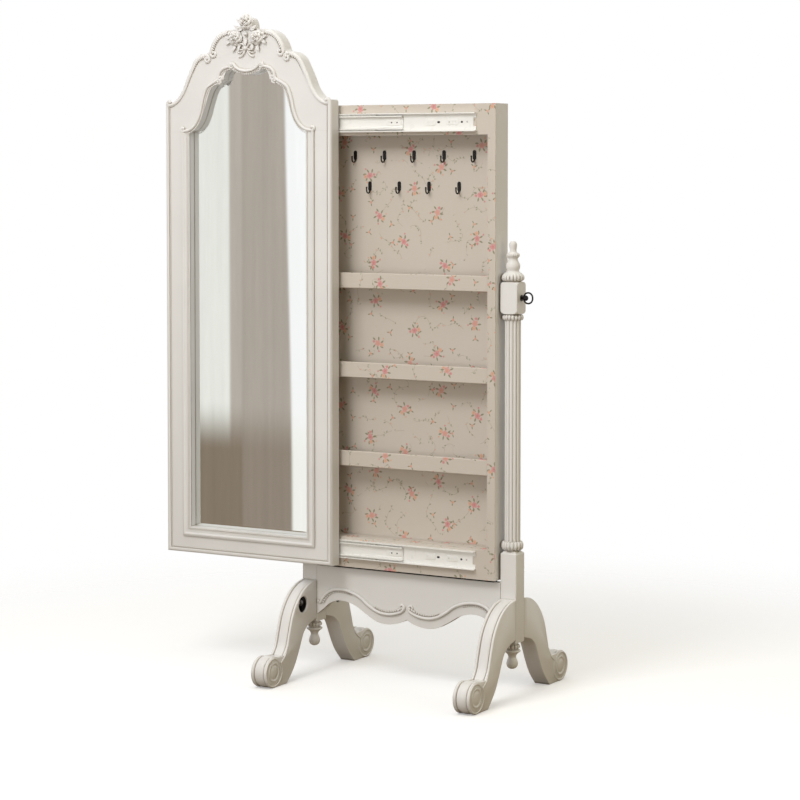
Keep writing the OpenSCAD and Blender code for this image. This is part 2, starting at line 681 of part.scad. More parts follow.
// Raised rib round the edge of the door, which stops beside the roses
edge_w = 10;
edge_t = 3;
module outer_moulding() {
    inner = beside(within(arch_line, 3), edge_w);
    color(pearl_white) on_door() difference() {
        board(closed_at(arch_line, door_z0), door_front - edge_t, door_front);
        board(concat([[edge_w - door_half, door_z0 + edge_w]], inner, [[door_half - edge_w, door_z0 + edge_w]]),
            door_front - edge_t - 1, door_front + 1);
        block_between([-rose_gap, door_front - edge_t - 1, rose_places[1][1] - rose_r],
            [rose_gap, door_front + 1, rose_places[0][1] + rose_r]);
    }
}
// Moulding round the mirror: a flat with a higher rib along its outer edge
module inner_moulding() {
    flat_t = 2;
    rib = 6;
    side_x = sight_half + inner_mould;
    foot_z = sight_z0 - inner_mould;
    mould_line = whole(mould_edge);
    rib_line = beside(within(mould_line, 1), rib);
    color(pearl_white) on_door() {
        difference() {
            board(concat([[-side_x, foot_z]], [[-side_x, arch_z]], mould_line, [[side_x, arch_z], [side_x, foot_z]]),
                door_front - flat_t, door_front);
            board(closed_at(sight_line, sight_z0), door_front - flat_t - 1, door_front + 1);
        }
        difference() {
            board(concat([[-side_x, foot_z]], [[-side_x, arch_z]], mould_line, [[side_x, arch_z], [side_x, foot_z]]),
                door_front - 2 * flat_t, door_front - flat_t);
            board(concat([[rib - side_x, foot_z + rib]], rib_line, [[side_x - rib, foot_z + rib]]),
                door_front - 2 * flat_t - 1, door_front);
        }
    }
}

rose_depth = 18;
rose_gap = 31 + rose_r + 1;
rose_places = [[0, shoulder_z + 218 * crest_kz - rose_r], [-31, shoulder_z + 157 * crest_kz],
    [31, shoulder_z + 157 * crest_kz]];
// A rose as rings of petals that open round a bud
module rose() {
    rotate([90, 0, 0]) scale(rose_r / 20) rotate_extrude($fn = 40) polygon([[0, 0], [17, 0], [20, 4], [19, 9],
        [16, 8], [15, 13], [11, 12], [10, 17], [6, 15.5], [4, rose_depth], [0, rose_depth - 1]]);
}
module crest_roses() {
    color(pearl_white) on_door() for (p = rose_places) translate([p[0], door_front, p[1]]) rose();
}
// A ribbon bow under the roses: two loops, two tails and a knot
module crest_bow() {
    bow_z = shoulder_z + 130 * crest_kz;
    bow_t = 6;
    color(pearl_white) on_door() translate([0, door_front, bow_z]) {
        for (s = [-1, 1]) side(s) {
            translate([13, 0, 3]) rotate([90, 0, 0]) difference() {
                cylinder(r = 10, h = bow_t, $fn = 32);
                translate([0, 0, -1]) cylinder(r = 5, h = bow_t + 2, $fn = 32);
            }
            board(band(through([[4, -4], [10, -10], [16, -20], [25, -24]], 3), 7), -bow_t, 0);
        }
        rod_y(-bow_t - 3, 0, 0, 0, 6);
    }
}
door_screw_depth = door_back - glass_y0 - glass_t - 1;
module door_screw_shanks() {
    translate([door_travel, 0, 0]) for (z = [top_slide_z, bottom_slide_z], x = door_holes())
        rod_y(door_back - door_screw_depth, door_back, x, z, screw_r);
}
module door_screws() {
    color(steel) for (z = [top_slide_z, bottom_slide_z], x = door_holes()) {
        rod_y(door_back - door_screw_depth, door_back + slide_t - inner_web_y, x, z, screw_r);
        rod_y(door_back + slide_t - inner_web_y, door_back + slide_t - inner_web_y + screw_head_t, x, z, screw_head_r);
    }
}

// ---- Pivot knobs ----

knob_flange_t = 2.5;
ring_bar_r = 2;
ring_r = 11.8;
ring_slot = 2;
// Threaded shank, collar against the post, ball and the ring by which it is turned
module pivot_knob() {
    x0 = half_w + washer_gap;
    ball_x = x0 + 12;
    ring_x = ball_x + 7;
    rod_x(cab_half - side_t + 4, x0, 0, pivot_z, shank_r);
    rod_x(x0, x0 + knob_flange_t, 0, pivot_z, 7.5);
    rod_x(x0 + knob_flange_t, ball_x, 0, pivot_z, 3.8);
    translate([ball_x, 0, pivot_z]) sphere(r = 6.8, $fn = 32);
    for (s = [-1, 1]) translate([ring_x, 0, pivot_z + s * ring_slot / 2]) {
        rotate([90, 0, 0]) rotate([0, 0, s > 0 ? 0 : 180]) rotate_extrude(angle = 180, $fn = 48)
            translate([ring_r, 0]) circle(r = ring_bar_r, $fn = 16);
    }
    for (s = [-1, 1]) translate([ring_x + s * ring_r, 0, pivot_z - ring_slot / 2])
        cylinder(r = ring_bar_r, h = ring_slot, $fn = 16);
}
module placed_knob(s) { color(iron) side(s) pivot_knob(); }

placed_leg(-1, -1);  // left_front_leg
placed_leg(-1, 1);  // left_rear_leg
placed_leg(1, -1);  // right_front_leg
placed_leg(1, 1);  // right_rear_leg
placed_post(-1);  // left_post
placed_post(1);  // right_post
placed_finial(-1);  // left_finial
placed_finial(1);  // right_finial
placed_drop(-1);  // left_drop_finial
placed_drop(1);  // right_drop_finial
apron();
apron_moulding();
leg_bolts();
leg_nuts();
dowels();
pivot_bushings();
cabinet_side(-1);  // cabinet_left_side
cabinet_side(1);  // cabinet_right_side
cabinet_cap(cab_z1 - cap_t);  // cabinet_top
cabinet_cap(cab_z0);  // cabinet_bottom
cabinet_back();
slide_rail(bay_z1, cab_z1 - cap_t);  // top_rail
slide_rail(cab_z0 + cap_t, bay_z0);  // bottom_rail
face_lining();
bay_lining();
shelf(0);  // upper_shelf
shelf(1);  // middle_shelf
shelf(2);  // lower_shelf
lip(0);  // upper_lip
lip(1);  // middle_lip
lip(2);  // lower_lip
necklace_hooks();
slide_outer(top_slide_z);  // top_slide_outer
slide_outer(bottom_slide_z);  // bottom_slide_outer
slide_screws();
back_screws();
pivot_inserts();
pivot_washers();
slide_middle(top_slide_z);  // top_slide_middle
slide_middle(bottom_slide_z);  // bottom_slide_middle
outer_cage(top_slide_z);  // top_outer_cage
inner_cage(top_slide_z);  // top_inner_cage
outer_cage(bottom_slide_z);  // bottom_outer_cage
inner_cage(bottom_slide_z);  // bottom_inner_cage
door_stile(-1);  // door_left_stile
door_stile(1);  // door_right_stile
door_bottom_rail();
door_crest();
mirror_glass();
mirror_backing();
inner_moulding();
outer_moulding();
crest_roses();
crest_bow();
slide_inner(top_slide_z);  // top_slide_inner
slide_inner(bottom_slide_z);  // bottom_slide_inner
door_screws();
placed_knob(-1);  // left_pivot_knob
placed_knob(1);  // right_pivot_knob
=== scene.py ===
"""Cheval mirror with a mirror door that slides over a cloth-lined jewellery cabinet.

The construction comes from the frame. This script adds the finishes, the carving, the pearls
and the stage, and every piece of it rides on one of the frame's bodies.
"""
import json
import math

import bmesh
import bpy
from bpy.props import FloatProperty, FloatVectorProperty, IntProperty, PointerProperty
from bpy.types import Operator, Panel, PropertyGroup
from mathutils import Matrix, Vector


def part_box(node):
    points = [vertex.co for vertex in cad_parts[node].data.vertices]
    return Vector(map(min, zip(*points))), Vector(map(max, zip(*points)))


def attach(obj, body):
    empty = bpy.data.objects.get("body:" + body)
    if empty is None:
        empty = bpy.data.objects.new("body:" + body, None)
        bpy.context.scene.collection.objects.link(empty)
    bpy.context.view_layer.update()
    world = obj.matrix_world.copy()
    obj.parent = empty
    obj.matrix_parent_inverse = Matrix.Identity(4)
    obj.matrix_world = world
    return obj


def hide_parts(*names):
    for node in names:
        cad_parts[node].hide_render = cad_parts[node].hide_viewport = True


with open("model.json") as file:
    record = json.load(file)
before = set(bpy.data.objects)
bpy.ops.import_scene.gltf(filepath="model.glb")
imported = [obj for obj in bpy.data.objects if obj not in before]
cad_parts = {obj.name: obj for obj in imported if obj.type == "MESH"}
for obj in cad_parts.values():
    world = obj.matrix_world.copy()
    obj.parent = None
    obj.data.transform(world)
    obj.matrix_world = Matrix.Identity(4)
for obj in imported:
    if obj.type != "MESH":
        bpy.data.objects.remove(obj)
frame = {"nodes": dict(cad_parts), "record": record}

bl_info = {
    "name": "Cheval Mirror Cabinet",
    "version": (1, 0, 0),
    "blender": (4, 5, 0),
    "location": "3D View > Sidebar > Cheval",
    "description": "Dresses a cheval mirror with a sliding door over a lined cabinet",
    "category": "Add Mesh",
}

MM = 0.001
JOIN = 0.005 * MM  # Corners of the frame's loose triangles that are one corner
WELD = 0.01 * MM  # Corners of a new piece that are one corner
NEAR = 0.05 * MM  # How close to a plane a face or a corner lies on it
SHARP = 38  # Degrees past which an edge stays sharp
OUT = Vector((0, -1, 0))
SIDES = (("left", -1), ("right", 1))


def box_of(*nodes):
    """Lowest and highest corner of some nodes together."""
    boxes = [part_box(node) for node in nodes]
    low = Vector([min(box[0][i] for box in boxes) for i in range(3)])
    high = Vector([max(box[1][i] for box in boxes) for i in range(3)])
    return low, high


def middle_of(*nodes):
    low, high = box_of(*nodes)
    return (low + high) / 2


def placed(name, data):
    """A new object at the origin, linked to the scene."""
    item = bpy.data.objects.new(name, data)
    bpy.context.scene.collection.objects.link(item)
    return item


def circle(radius, steps):
    """Points round a circle, as pairs of numbers."""
    turns = [math.tau * i / steps for i in range(steps)]
    return [(radius * math.cos(turn), radius * math.sin(turn)) for turn in turns]


# ---- Sizes and colours ----

class FinishSettings(PropertyGroup):
    """Colours of the finishes."""
    paint: FloatVectorProperty(name="Pearl paint", description="Paint on all the wood", subtype="COLOR",
                               default=(0.745, 0.732, 0.716), min=0, max=1)
    # Colour of the darkening in hollows and between parts: partly antique glazing, partly painted shade
    glaze_and_shade: FloatVectorProperty(name="Glaze", description="Glaze left in the hollows of the carving",
                               subtype="COLOR", default=(0.36, 0.30, 0.22), min=0, max=1)
    cloth: FloatVectorProperty(name="Cloth", description="Ground colour of the lining", subtype="COLOR",
                               default=(0.615, 0.562, 0.498), min=0, max=1)
    rose: FloatVectorProperty(name="Printed rose", description="Darker of the two rose colours",
                              subtype="COLOR", default=(0.60, 0.155, 0.165), min=0, max=1)
    bloom: FloatVectorProperty(name="Printed bloom", description="Lighter of the two rose colours",
                               subtype="COLOR", default=(0.68, 0.30, 0.19), min=0, max=1)
    leaf: FloatVectorProperty(name="Printed leaf", description="Colour of the printed leaves",
                              subtype="COLOR", default=(0.20, 0.20, 0.10), min=0, max=1)
    slide: FloatVectorProperty(name="Slide enamel", description="Enamel on the slides", subtype="COLOR",
                               default=(0.84, 0.83, 0.80), min=0, max=1)
    # Also the colour of the black pieces that paint shade: the pocket liners, the strip under the cabinet and
    # the discs in the slide holes
    iron: FloatVectorProperty(name="Black iron", description="Hooks and pivot knobs", subtype="COLOR",
                              default=(0.013, 0.012, 0.012), min=0, max=1)


class CarvingSettings(PropertyGroup):
    """Sizes of the carving and the pearls."""
    pearl: FloatProperty(name="Pearl", description="Radius of the small pearls", default=2.1 * MM,
                         min=1 * MM, max=4 * MM, subtype="DISTANCE", unit="LENGTH")
    pearl_pitch: FloatProperty(name="Pearl pitch", description="Distance from pearl to pearl",
                               default=5.6 * MM, min=3 * MM, max=12 * MM, subtype="DISTANCE", unit="LENGTH")
    collar_pearls: IntProperty(name="Collar pearls", description="Pearls round each turned collar",
                               default=16, min=8, max=24)
    round_over: FloatProperty(name="Door edge", description="Rounding of the door's outer edge",
                              default=8 * MM, min=2 * MM, max=9 * MM, subtype="DISTANCE", unit="LENGTH")


class StageSettings(PropertyGroup):
    """Camera and lamps."""
    lens: FloatProperty(name="Lens", description="Focal length of the camera in millimetres",
                        default=108, min=20, max=300)
    key: FloatProperty(name="Key lamp", description="Power of the lamp high in front", default=45,
                       min=0, max=2000, subtype="POWER")
    front: FloatProperty(name="Front lamp", description="Power of the low lamp in front", default=19,
                         min=0, max=2000, subtype="POWER")
    fill: FloatProperty(name="Fill lamp", description="Power of the warm lamp on the right", default=16,
                        min=0, max=2000, subtype="POWER")
    top: FloatProperty(name="Top lamp", description="Power of the lamp overhead", default=10,
                       min=0, max=2000, subtype="POWER")
    left_light: FloatVectorProperty(name="Left of the room", description="Light from the left half of the room",
                                    subtype="COLOR", default=(0.595, 0.595, 0.60), min=0, max=2)
    right_light: FloatVectorProperty(name="Right of the room", subtype="COLOR",
                                     description="Light from the right half of the room",
                                     default=(0.39, 0.360, 0.275), min=0, max=2)


def settings():
    return bpy.context.scene.cheval


class ChevalSettings(PropertyGroup):
    """All the settings of the model."""
    finish: PointerProperty(type=FinishSettings)
    carving: PointerProperty(type=CarvingSettings)
    stage: PointerProperty(type=StageSettings)


# ---- Shader trees ----

class Wiring:
    """Short words for wiring a node tree."""

    def __init__(self, tree):
        self.tree = tree

    def put(self, socket, value):
        if isinstance(value, bpy.types.NodeSocket):
            self.tree.links.new(value, socket)
        elif isinstance(value, (tuple, list, Vector)) and len(value) == 3 and socket.type == "RGBA":
            socket.default_value = (*value, 1)
        else:
            socket.default_value = value

    def new(self, kind, inputs=None, **values):
        """A node with some of its own values and its inputs, which are given by name or number."""
        node = self.tree.nodes.new(kind)
        for name, value in values.items():
            setattr(node, name, value)
        for name, value in (inputs or {}).items():
            self.put(node.inputs[name], value)
        return node

    def maths(self, operation, *terms):
        return self.new("ShaderNodeMath", dict(enumerate(terms)), operation=operation).outputs[0]

    def plus(self, first, second):
        return self.maths("ADD", first, second)

    def minus(self, first, second):
        return self.maths("SUBTRACT", first, second)

    def times(self, first, second):
        return self.maths("MULTIPLY", first, second)

    def fitted(self, value, scale, start):
        """A value times a scale, and a start added."""
        return self.maths("MULTIPLY_ADD", value, scale, start)

    def summed(self, a, b, c, d):
        """The product of two numbers and the product of two more, added."""
        return self.plus(self.times(a, b), self.times(c, d))

    def length(self, x, y):
        return self.maths("SQRT", self.summed(x, x, y, y))

    def blend(self, share, first, second, mode="MIX"):
        return self.new("ShaderNodeMix", {0: share, 6: first, 7: second},
                        data_type="RGBA", blend_type=mode).outputs[2]

    def ramp(self, value, low, high, soft=True, ends=(0.0, 1.0)):
        """0 at low and 1 at high, or other ends, with a soft or a straight step between."""
        return self.new("ShaderNodeMapRange", dict(enumerate((value, low, high, *ends))),
                        interpolation_type="SMOOTHSTEP" if soft else "LINEAR").outputs[0]

    def joined(self, *terms):
        """Three numbers as one vector."""
        return self.new("ShaderNodeCombineXYZ", dict(enumerate(terms))).outputs[0]

    def parted(self, vector):
        """The three numbers of a vector, by name."""
        return self.new("ShaderNodeSeparateXYZ", {0: vector}).outputs

    def shown_if(self, share, hidden, shown):
        """One shader where the share is 0 and another where it is 1."""
        return self.new("ShaderNodeMixShader", {0: share, 1: hidden, 2: shown}).outputs[0]


class Shader(Wiring):
    """A material on the Principled shader."""

    def __init__(self, name):
        self.material = bpy.data.materials.new(name)
        self.material.use_nodes = True
        super().__init__(self.material.node_tree)
        self.body = self.tree.nodes["Principled BSDF"]

    def noise(self, scale, detail=2.0, stretch=None):
        return self.new("ShaderNodeTexNoise", {"Vector": self.place(stretch), "Scale": scale,
                                               "Detail": detail}).outputs["Fac"]

    def place(self, stretch=None):
        """Place on the object in metres, stretched where grain or brush marks need it."""
        where = self.new("ShaderNodeTexCoord").outputs["Object"]
        if stretch is None:
            return where
        return self.new("ShaderNodeMapping", {"Vector": where, "Scale": stretch}).outputs["Vector"]

    def flat(self, kind, u, v, **inputs):
        """A texture read at two numbers, with its scale and detail."""
        dimensions = {"voronoi_dimensions" if "Voronoi" in kind else "noise_dimensions": "2D"}
        return self.new(kind, {"Vector": self.joined(u, v, 0.0), **inputs}, **dimensions)

    def tinted(self, colour, share):
        """A colour made lighter and darker by a share."""
        return self.blend(1.0, tuple(colour), share, "MULTIPLY")

    def dent(self, height, depth, strength=1.0):
        bump = self.new("ShaderNodeBump", {"Height": height, "Distance": depth, "Strength": strength})
        self.put(self.body.inputs["Normal"], bump.outputs["Normal"])

    def set(self, **values):
        for name, value in values.items():
            self.put(self.body.inputs[name.replace("_", " ")], value)
        return self.material

    def show(self, surface):
        self.put(self.tree.nodes["Material Output"].inputs["Surface"], surface)
        return self.material


# Reach and strength of the darkening in hollows and between parts, partly antique glazing and partly painted
# shade
GLAZE_SHADE_REACH = 7 * MM
GLAZE_SHADE_SHARE = 0.78


def pearl_paint(name, brush=(6, 6, 1.2)):
    """Satin pearl paint: brush marks, faint clouds, and a warm darkening in the hollows and between parts that
    is partly an antique glazing and partly painted shade.
    """
    finish = settings().finish
    s = Shader(name)
    hollow = s.new("ShaderNodeAmbientOcclusion", {"Distance": GLAZE_SHADE_REACH}, samples=6)
    marks = s.noise(220, 4, stretch=brush)
    colour = s.tinted(finish.paint, s.fitted(s.noise(9, 3), 0.10, 0.95))
    # Painted shade: occlusion darkens hollows, creases and joints between parts towards the glazing colour
    closed = s.minus(1.0, s.ramp(hollow.outputs["AO"], 0.25, 0.90))
    colour = s.blend(s.times(closed, GLAZE_SHADE_SHARE), colour, tuple(finish.glaze_and_shade))
    s.dent(marks, 0.12 * MM, 0.35)
    return s.set(Base_Color=colour, Roughness=s.fitted(marks, 0.10, 0.31),
                 Coat_Weight=0.18, Coat_Roughness=0.22)


def slide_enamel():
    """Hard white enamel on rolled steel."""
    s = Shader("slide_enamel")
    s.dent(s.noise(900, 2), 0.04 * MM, 0.3)
    return s.set(Base_Color=s.tinted(settings().finish.slide, s.fitted(s.noise(30, 2), 0.06, 0.97)),
                 Roughness=s.fitted(s.noise(60, 2), 0.10, 0.24), Coat_Weight=0.3, Coat_Roughness=0.12)


def black_iron():
    """Black oxide with brown worn through on the high spots."""
    s = Shader("black_iron")
    worn = s.ramp(s.noise(260, 4), 0.56, 0.72)
    s.dent(s.noise(1400, 2), 0.06 * MM, 0.4)
    return s.set(Base_Color=s.blend(worn, tuple(settings().finish.iron), (0.06, 0.045, 0.035)),
                 Metallic=0.6, Roughness=s.fitted(worn, 0.2, 0.34))


def turned_metal(name, colour, roughness):
    """Bare metal with fine lathe or roll marks."""
    s = Shader(name)
    marks = s.noise(700, 3, stretch=(1, 1, 6))
    s.dent(marks, 0.03 * MM, 0.4)
    return s.set(Base_Color=s.blend(s.times(marks, 0.35), colour, (0.32, 0.30, 0.27)),
                 Metallic=1.0, Roughness=s.fitted(marks, 0.2, roughness))


def raw_board():
    """Bare beech: long grain and short rays."""
    s = Shader("raw_board")
    grain = s.noise(90, 5, stretch=(1, 1, 0.06))
    rays = s.ramp(s.noise(420, 2, stretch=(1, 1, 0.2)), 0.58, 0.66)
    colour = s.blend(grain, (0.52, 0.36, 0.22), (0.68, 0.52, 0.36))
    s.dent(grain, 0.2 * MM, 0.3)
    return s.set(Base_Color=s.blend(s.times(rays, 0.4), colour, (0.36, 0.23, 0.13)), Roughness=0.62)


def plain_nylon():
    """Pale moulded nylon, faintly mottled."""
    s = Shader("nylon")
    s.dent(s.noise(500, 2), 0.04 * MM, 0.3)
    return s.set(Base_Color=s.blend(s.noise(120, 2), (0.70, 0.68, 0.62), (0.78, 0.77, 0.72)), Roughness=0.45)


def silvered_glass():
    """Silvered glass, a touch green, with the faintest haze."""
    s = Shader("silvered_glass")
    tint = s.blend(s.noise(5, 1), (0.90, 0.92, 0.905), (0.925, 0.935, 0.93))
    return s.set(Base_Color=tint, Metallic=1.0, Roughness=s.fitted(s.noise(14, 3), 0.02, 0.008))


def turned_by(s, u, v, turn):
    """Two numbers along and across a way that is turned by an angle."""
    cos, sin = s.maths("COSINE", turn), s.maths("SINE", turn)
    return s.summed(u, cos, v, sin), s.minus(s.times(v, cos), s.times(u, sin))


def blade(s, along, across):
    """A pointed blade that is 1 inside and below 0 outside, in shares of its half length and half width."""
    return s.minus(s.minus(1.0, s.times(along, along)), s.maths("ABSOLUTE", across))


class Print:
    """A printed sprig, in millimetres about its own middle: masks and colours laid one over another."""

    def __init__(self, shader, u, v, ground):
        self.s, self.u, self.v, self.colour, self.only = shader, u, v, ground, None

    def lay(self, mask, colour, strength=1.0):
        share = self.s.times(mask, strength)
        if self.only:
            share = self.s.times(share, self.only)
        self.colour = self.s.blend(share, self.colour, colour)

    def bloom(self, u, v, radius, dark, light, petals=5, turn=0.0):
        """A round bloom with scalloped petals, darker folds and a dark heart."""
        s = self.s
        x, y = s.minus(self.u, u), s.minus(self.v, v)
        reach, angle = s.length(x, y), s.maths("ARCTAN2", y, x)
        scallop = s.maths("COSINE", s.fitted(angle, petals, turn))
        edge = s.fitted(scallop, 0.13 * radius, 0.87 * radius)
        folds = s.maths("SINE", s.summed(reach, 14.0 / radius, angle, 2.0))
        heart = s.ramp(reach, radius * 0.5, radius * 0.12)
        shade = s.fitted(folds, 0.28, s.fitted(heart, 0.6, 0.32))
        self.lay(s.ramp(s.minus(edge, reach), -0.5, 0.5), s.blend(shade, light, dark), 0.86)

    def leaf(self, u, v, turn, length, width, colour, strength=0.8):
        s = self.s
        x, y = s.minus(self.u, u), s.minus(self.v, v)
        c, d = math.cos(math.radians(turn)), math.sin(math.radians(turn))
        along, across = s.summed(x, c / length, y, d / length), s.summed(x, -d / width, y, c / width)
        self.lay(s.ramp(blade(s, along, across), -0.12, 0.25), colour, strength)


def scattered(s, u, v, width, height, reach, seed):
    """Places about the middle of each cell of a half-drop repeat, moved and turned by the cell's own chance."""
    column = s.maths("FLOOR", s.maths("DIVIDE", u, width))
    v = s.fitted(s.maths("MODULO", column, 2.0), height / 2, v)
    row = s.maths("FLOOR", s.maths("DIVIDE", v, height))
    chance = s.new("ShaderNodeTexWhiteNoise", {"Vector": s.joined(column, row, seed)}, noise_dimensions="3D")
    pick = s.parted(chance.outputs["Color"])
    own_u, own_v = (s.minus(s.minus(place, s.times(s.plus(cell, 0.5), size)),
                            s.fitted(pick[axis], 2 * reach, -reach))
                    for place, cell, size, axis in ((u, column, width, "X"), (v, row, height, "Y")))
    return *turned_by(s, own_u, own_v, s.times(pick["Z"], math.tau)), pick


VINE_SCALE = 0.0125
VINE_REACH = 0.8
VINE_SLOPE = 0.0016


def off_vine(s, u, v):
    """How far a place is from the nearest winding vine, in millimetres."""
    levels = [s.flat("ShaderNodeTexNoise", s.plus(u, du), s.plus(v, dv),
                     Scale=VINE_SCALE, Detail=1.0).outputs["Fac"]
              for du, dv in ((0, 0), (VINE_REACH, 0), (0, VINE_REACH))]
    slope = s.length(*(s.minus(level, levels[0]) for level in levels[1:]))
    slope = s.maths("MAXIMUM", s.maths("DIVIDE", slope, VINE_REACH), VINE_SLOPE)
    return s.maths("DIVIDE", s.maths("ABSOLUTE", s.minus(levels[0], 0.5)), slope)


LAYER_DEPTH = 13.0
PALE_ROSE, PALE_BLOOM, STEM = (0.68, 0.33, 0.33), (0.72, 0.45, 0.32), (0.36, 0.30, 0.215)
# Turn in degrees and reach of the leaves round the big rose
ROSE_LEAVES = ((8, 13), (64, 12), (118, 15), (172, 13), (232, 12), (290, 15))


def cloth_place(s):
    """Two numbers in millimetres that run along whichever way a face of the cloth lies, with their own start
    on each layer, and a little drift that keeps the print from looking ruled."""
    where = s.parted(s.place())
    facing = s.parted(s.new("ShaderNodeNewGeometry").outputs["True Normal"])
    on = {axis: s.ramp(s.maths("ABSOLUTE", facing[axis]), 0.6, 0.8) for axis in "XYZ"}
    x, y, z = (s.times(where[axis], 1000.0) for axis in "XYZ")
    layer = s.times(on["Y"], s.maths("FLOOR", s.maths("DIVIDE", y, LAYER_DEPTH)))
    drift = s.parted(s.new("ShaderNodeTexNoise", {"Vector": s.place(), "Scale": 70.0}).outputs["Color"])
    pair = []
    for own, turned_to, axis, step, start in ((x, y, "X", 37.0, 2000.0), (z, y, "Z", 53.0, 900.0)):
        here = s.fitted(on[axis], s.minus(turned_to, own), own)
        here = s.fitted(layer, step, s.plus(here, start))
        pair.append(s.plus(here, s.fitted(drift["XY"[len(pair)]], 3.4, -1.7)))
    return pair


def print_vines(s, art, leaf, bloom):
    """Thin winding vines with small leaves and a few buds, which come and go over the cloth."""
    u, v = art.u, art.v
    here = s.ramp(s.flat("ShaderNodeTexNoise", u, v, Scale=0.017).outputs["Fac"], 0.46, 0.52)
    art.lay(s.times(s.ramp(off_vine(s, u, v), 0.75, 0.25), here), STEM, 0.62)
    dots = s.flat("ShaderNodeTexVoronoi", u, v, Scale=0.105)
    spot, chance = s.parted(dots.outputs["Position"]), s.parted(dots.outputs["Color"])
    near = s.ramp(off_vine(s, spot["X"], spot["Y"]), 5.0, 3.6)
    along, across = turned_by(s, s.minus(u, spot["X"]), s.minus(v, spot["Y"]), s.times(chance["X"], math.tau))
    shape = blade(s, s.maths("DIVIDE", along, 3.6), s.maths("DIVIDE", across, 1.6))
    art.lay(s.times(s.ramp(shape, -0.1, 0.3), s.times(near, here)),
            s.blend(s.ramp(chance["Y"], 0.80, 0.82), leaf, bloom), 0.62)


def floral_cloth(name):
    """Woven cotton printed with winding vines and scattered clusters of small roses."""
    finish = settings().finish
    rose, bloom, leaf = tuple(finish.rose), tuple(finish.bloom), tuple(finish.leaf)
    s = Shader(name)
    u, v = cloth_place(s)
    ground = s.blend(s.times(s.noise(11, 3), 0.30), tuple(finish.cloth), (0.54, 0.475, 0.405))
    art = Print(s, u, v, ground)
    print_vines(s, art, leaf, bloom)

    art.u, art.v, pick = scattered(s, u, v, 57.0, 71.0, 14.0, 5.0)
    art.only = s.maths("GREATER_THAN", pick["X"], 0.42)
    for spec in ((0, 6.5, 90, 4.4, 1.7), (5.2, -3.2, -30, 4.2, 1.6), (-5.0, -3.4, 215, 4.0, 1.6)):
        art.leaf(*spec, leaf)
    art.bloom(0, 0, 4.0, s.blend(pick["Y"], bloom, rose), PALE_BLOOM, 4, 0.0)

    art.u, art.v, pick = scattered(s, u, v, 94.0, 108.0, 17.0, 11.0)
    art.only = None
    heart = s.blend(s.maths("GREATER_THAN", pick["Y"], 0.62), rose, bloom)
    for angle, reach in ROSE_LEAVES:
        turn = math.radians(angle)
        art.leaf(reach * math.cos(turn), reach * math.sin(turn), angle + 14, 5.6, 2.4, leaf)
    for spec in ((-9.5, 8, 5.8, bloom, PALE_BLOOM, 5, 1.0), (0, 0, 8.6, heart, PALE_ROSE, 5, 0.4),
                 (8.5, -8.5, 4.4, rose, PALE_ROSE, 4, 2.0), (5.5, 19, 2.9, rose, PALE_ROSE, 3, 0.0),
                 (-19, -4, 2.7, bloom, PALE_BLOOM, 3, 0.0)):
        art.bloom(*spec)

    weave = s.plus(*(s.new("ShaderNodeTexWave", {"Vector": s.place(), "Scale": 260.0, "Distortion": 0.6},
                           wave_type="BANDS", bands_direction=axis).outputs["Fac"] for axis in "XZ"))
    slub = s.noise(420, 3, stretch=(0.25, 1, 1))
    colour = s.blend(s.times(slub, 0.16), art.colour, (0.44, 0.39, 0.33))
    s.dent(s.plus(weave, slub), 0.16 * MM, 0.45)
    return s.set(Base_Color=colour, Roughness=0.88, Sheen_Weight=0.12, Sheen_Roughness=0.5)


FINISHES = {
    "pearl_white": lambda: pearl_paint("pearl_white"),
    "slide_white": slide_enamel,
    "lining_cloth": lambda: floral_cloth("lining_cloth"),
    "covered_board": lambda: floral_cloth("covered_board"),
    "iron_black": black_iron,
    "zinc_steel": lambda: turned_metal("zinc_steel", (0.62, 0.61, 0.58), 0.30),
    "brass": lambda: turned_metal("brass", (0.70, 0.50, 0.22), 0.24),
    "beech": raw_board,
    "nylon": plain_nylon,
    "mirror_silver": silvered_glass,
}
MATERIALS = {}


def finish_of(slot):
    if slot not in MATERIALS:
        MATERIALS[slot] = FINISHES[slot]()
    return MATERIALS[slot]


def slot_of(node):
    return next(part["material_slot"] for part in frame["record"]["subparts"] if part["node"] == node)


def body_with(node):
    bodies = frame["record"]["behaviour"]["bodies"]
    return next(name for name, nodes in bodies.items() if node in nodes)


# ---- Mesh tools ----

def joined_copy(node):
    """The frame's mesh of a node, with its loose triangles joined into clean faces."""
    bm = bmesh.new()
    bm.from_mesh(frame["nodes"][node].data)
    bmesh.ops.remove_doubles(bm, verts=bm.verts, dist=JOIN)
    bmesh.ops.dissolve_degenerate(bm, dist=JOIN, edges=bm.edges)
    bmesh.ops.dissolve_limit(bm, angle_limit=math.radians(0.4), verts=bm.verts, edges=bm.edges)
    return bm


def ease(bm, width, segments=3, chosen=lambda edge: True, angle=SHARP):
    """Rounds the sharp edges that are chosen."""
    edges = [edge for edge in bm.edges if len(edge.link_faces) == 2
             and edge.calc_face_angle() > math.radians(angle) and chosen(edge)]
    bmesh.ops.bevel(bm, geom=edges, offset=width, offset_type="OFFSET", segments=segments, profile=0.5,
                    affect="EDGES", clamp_overlap=True)
    return bm


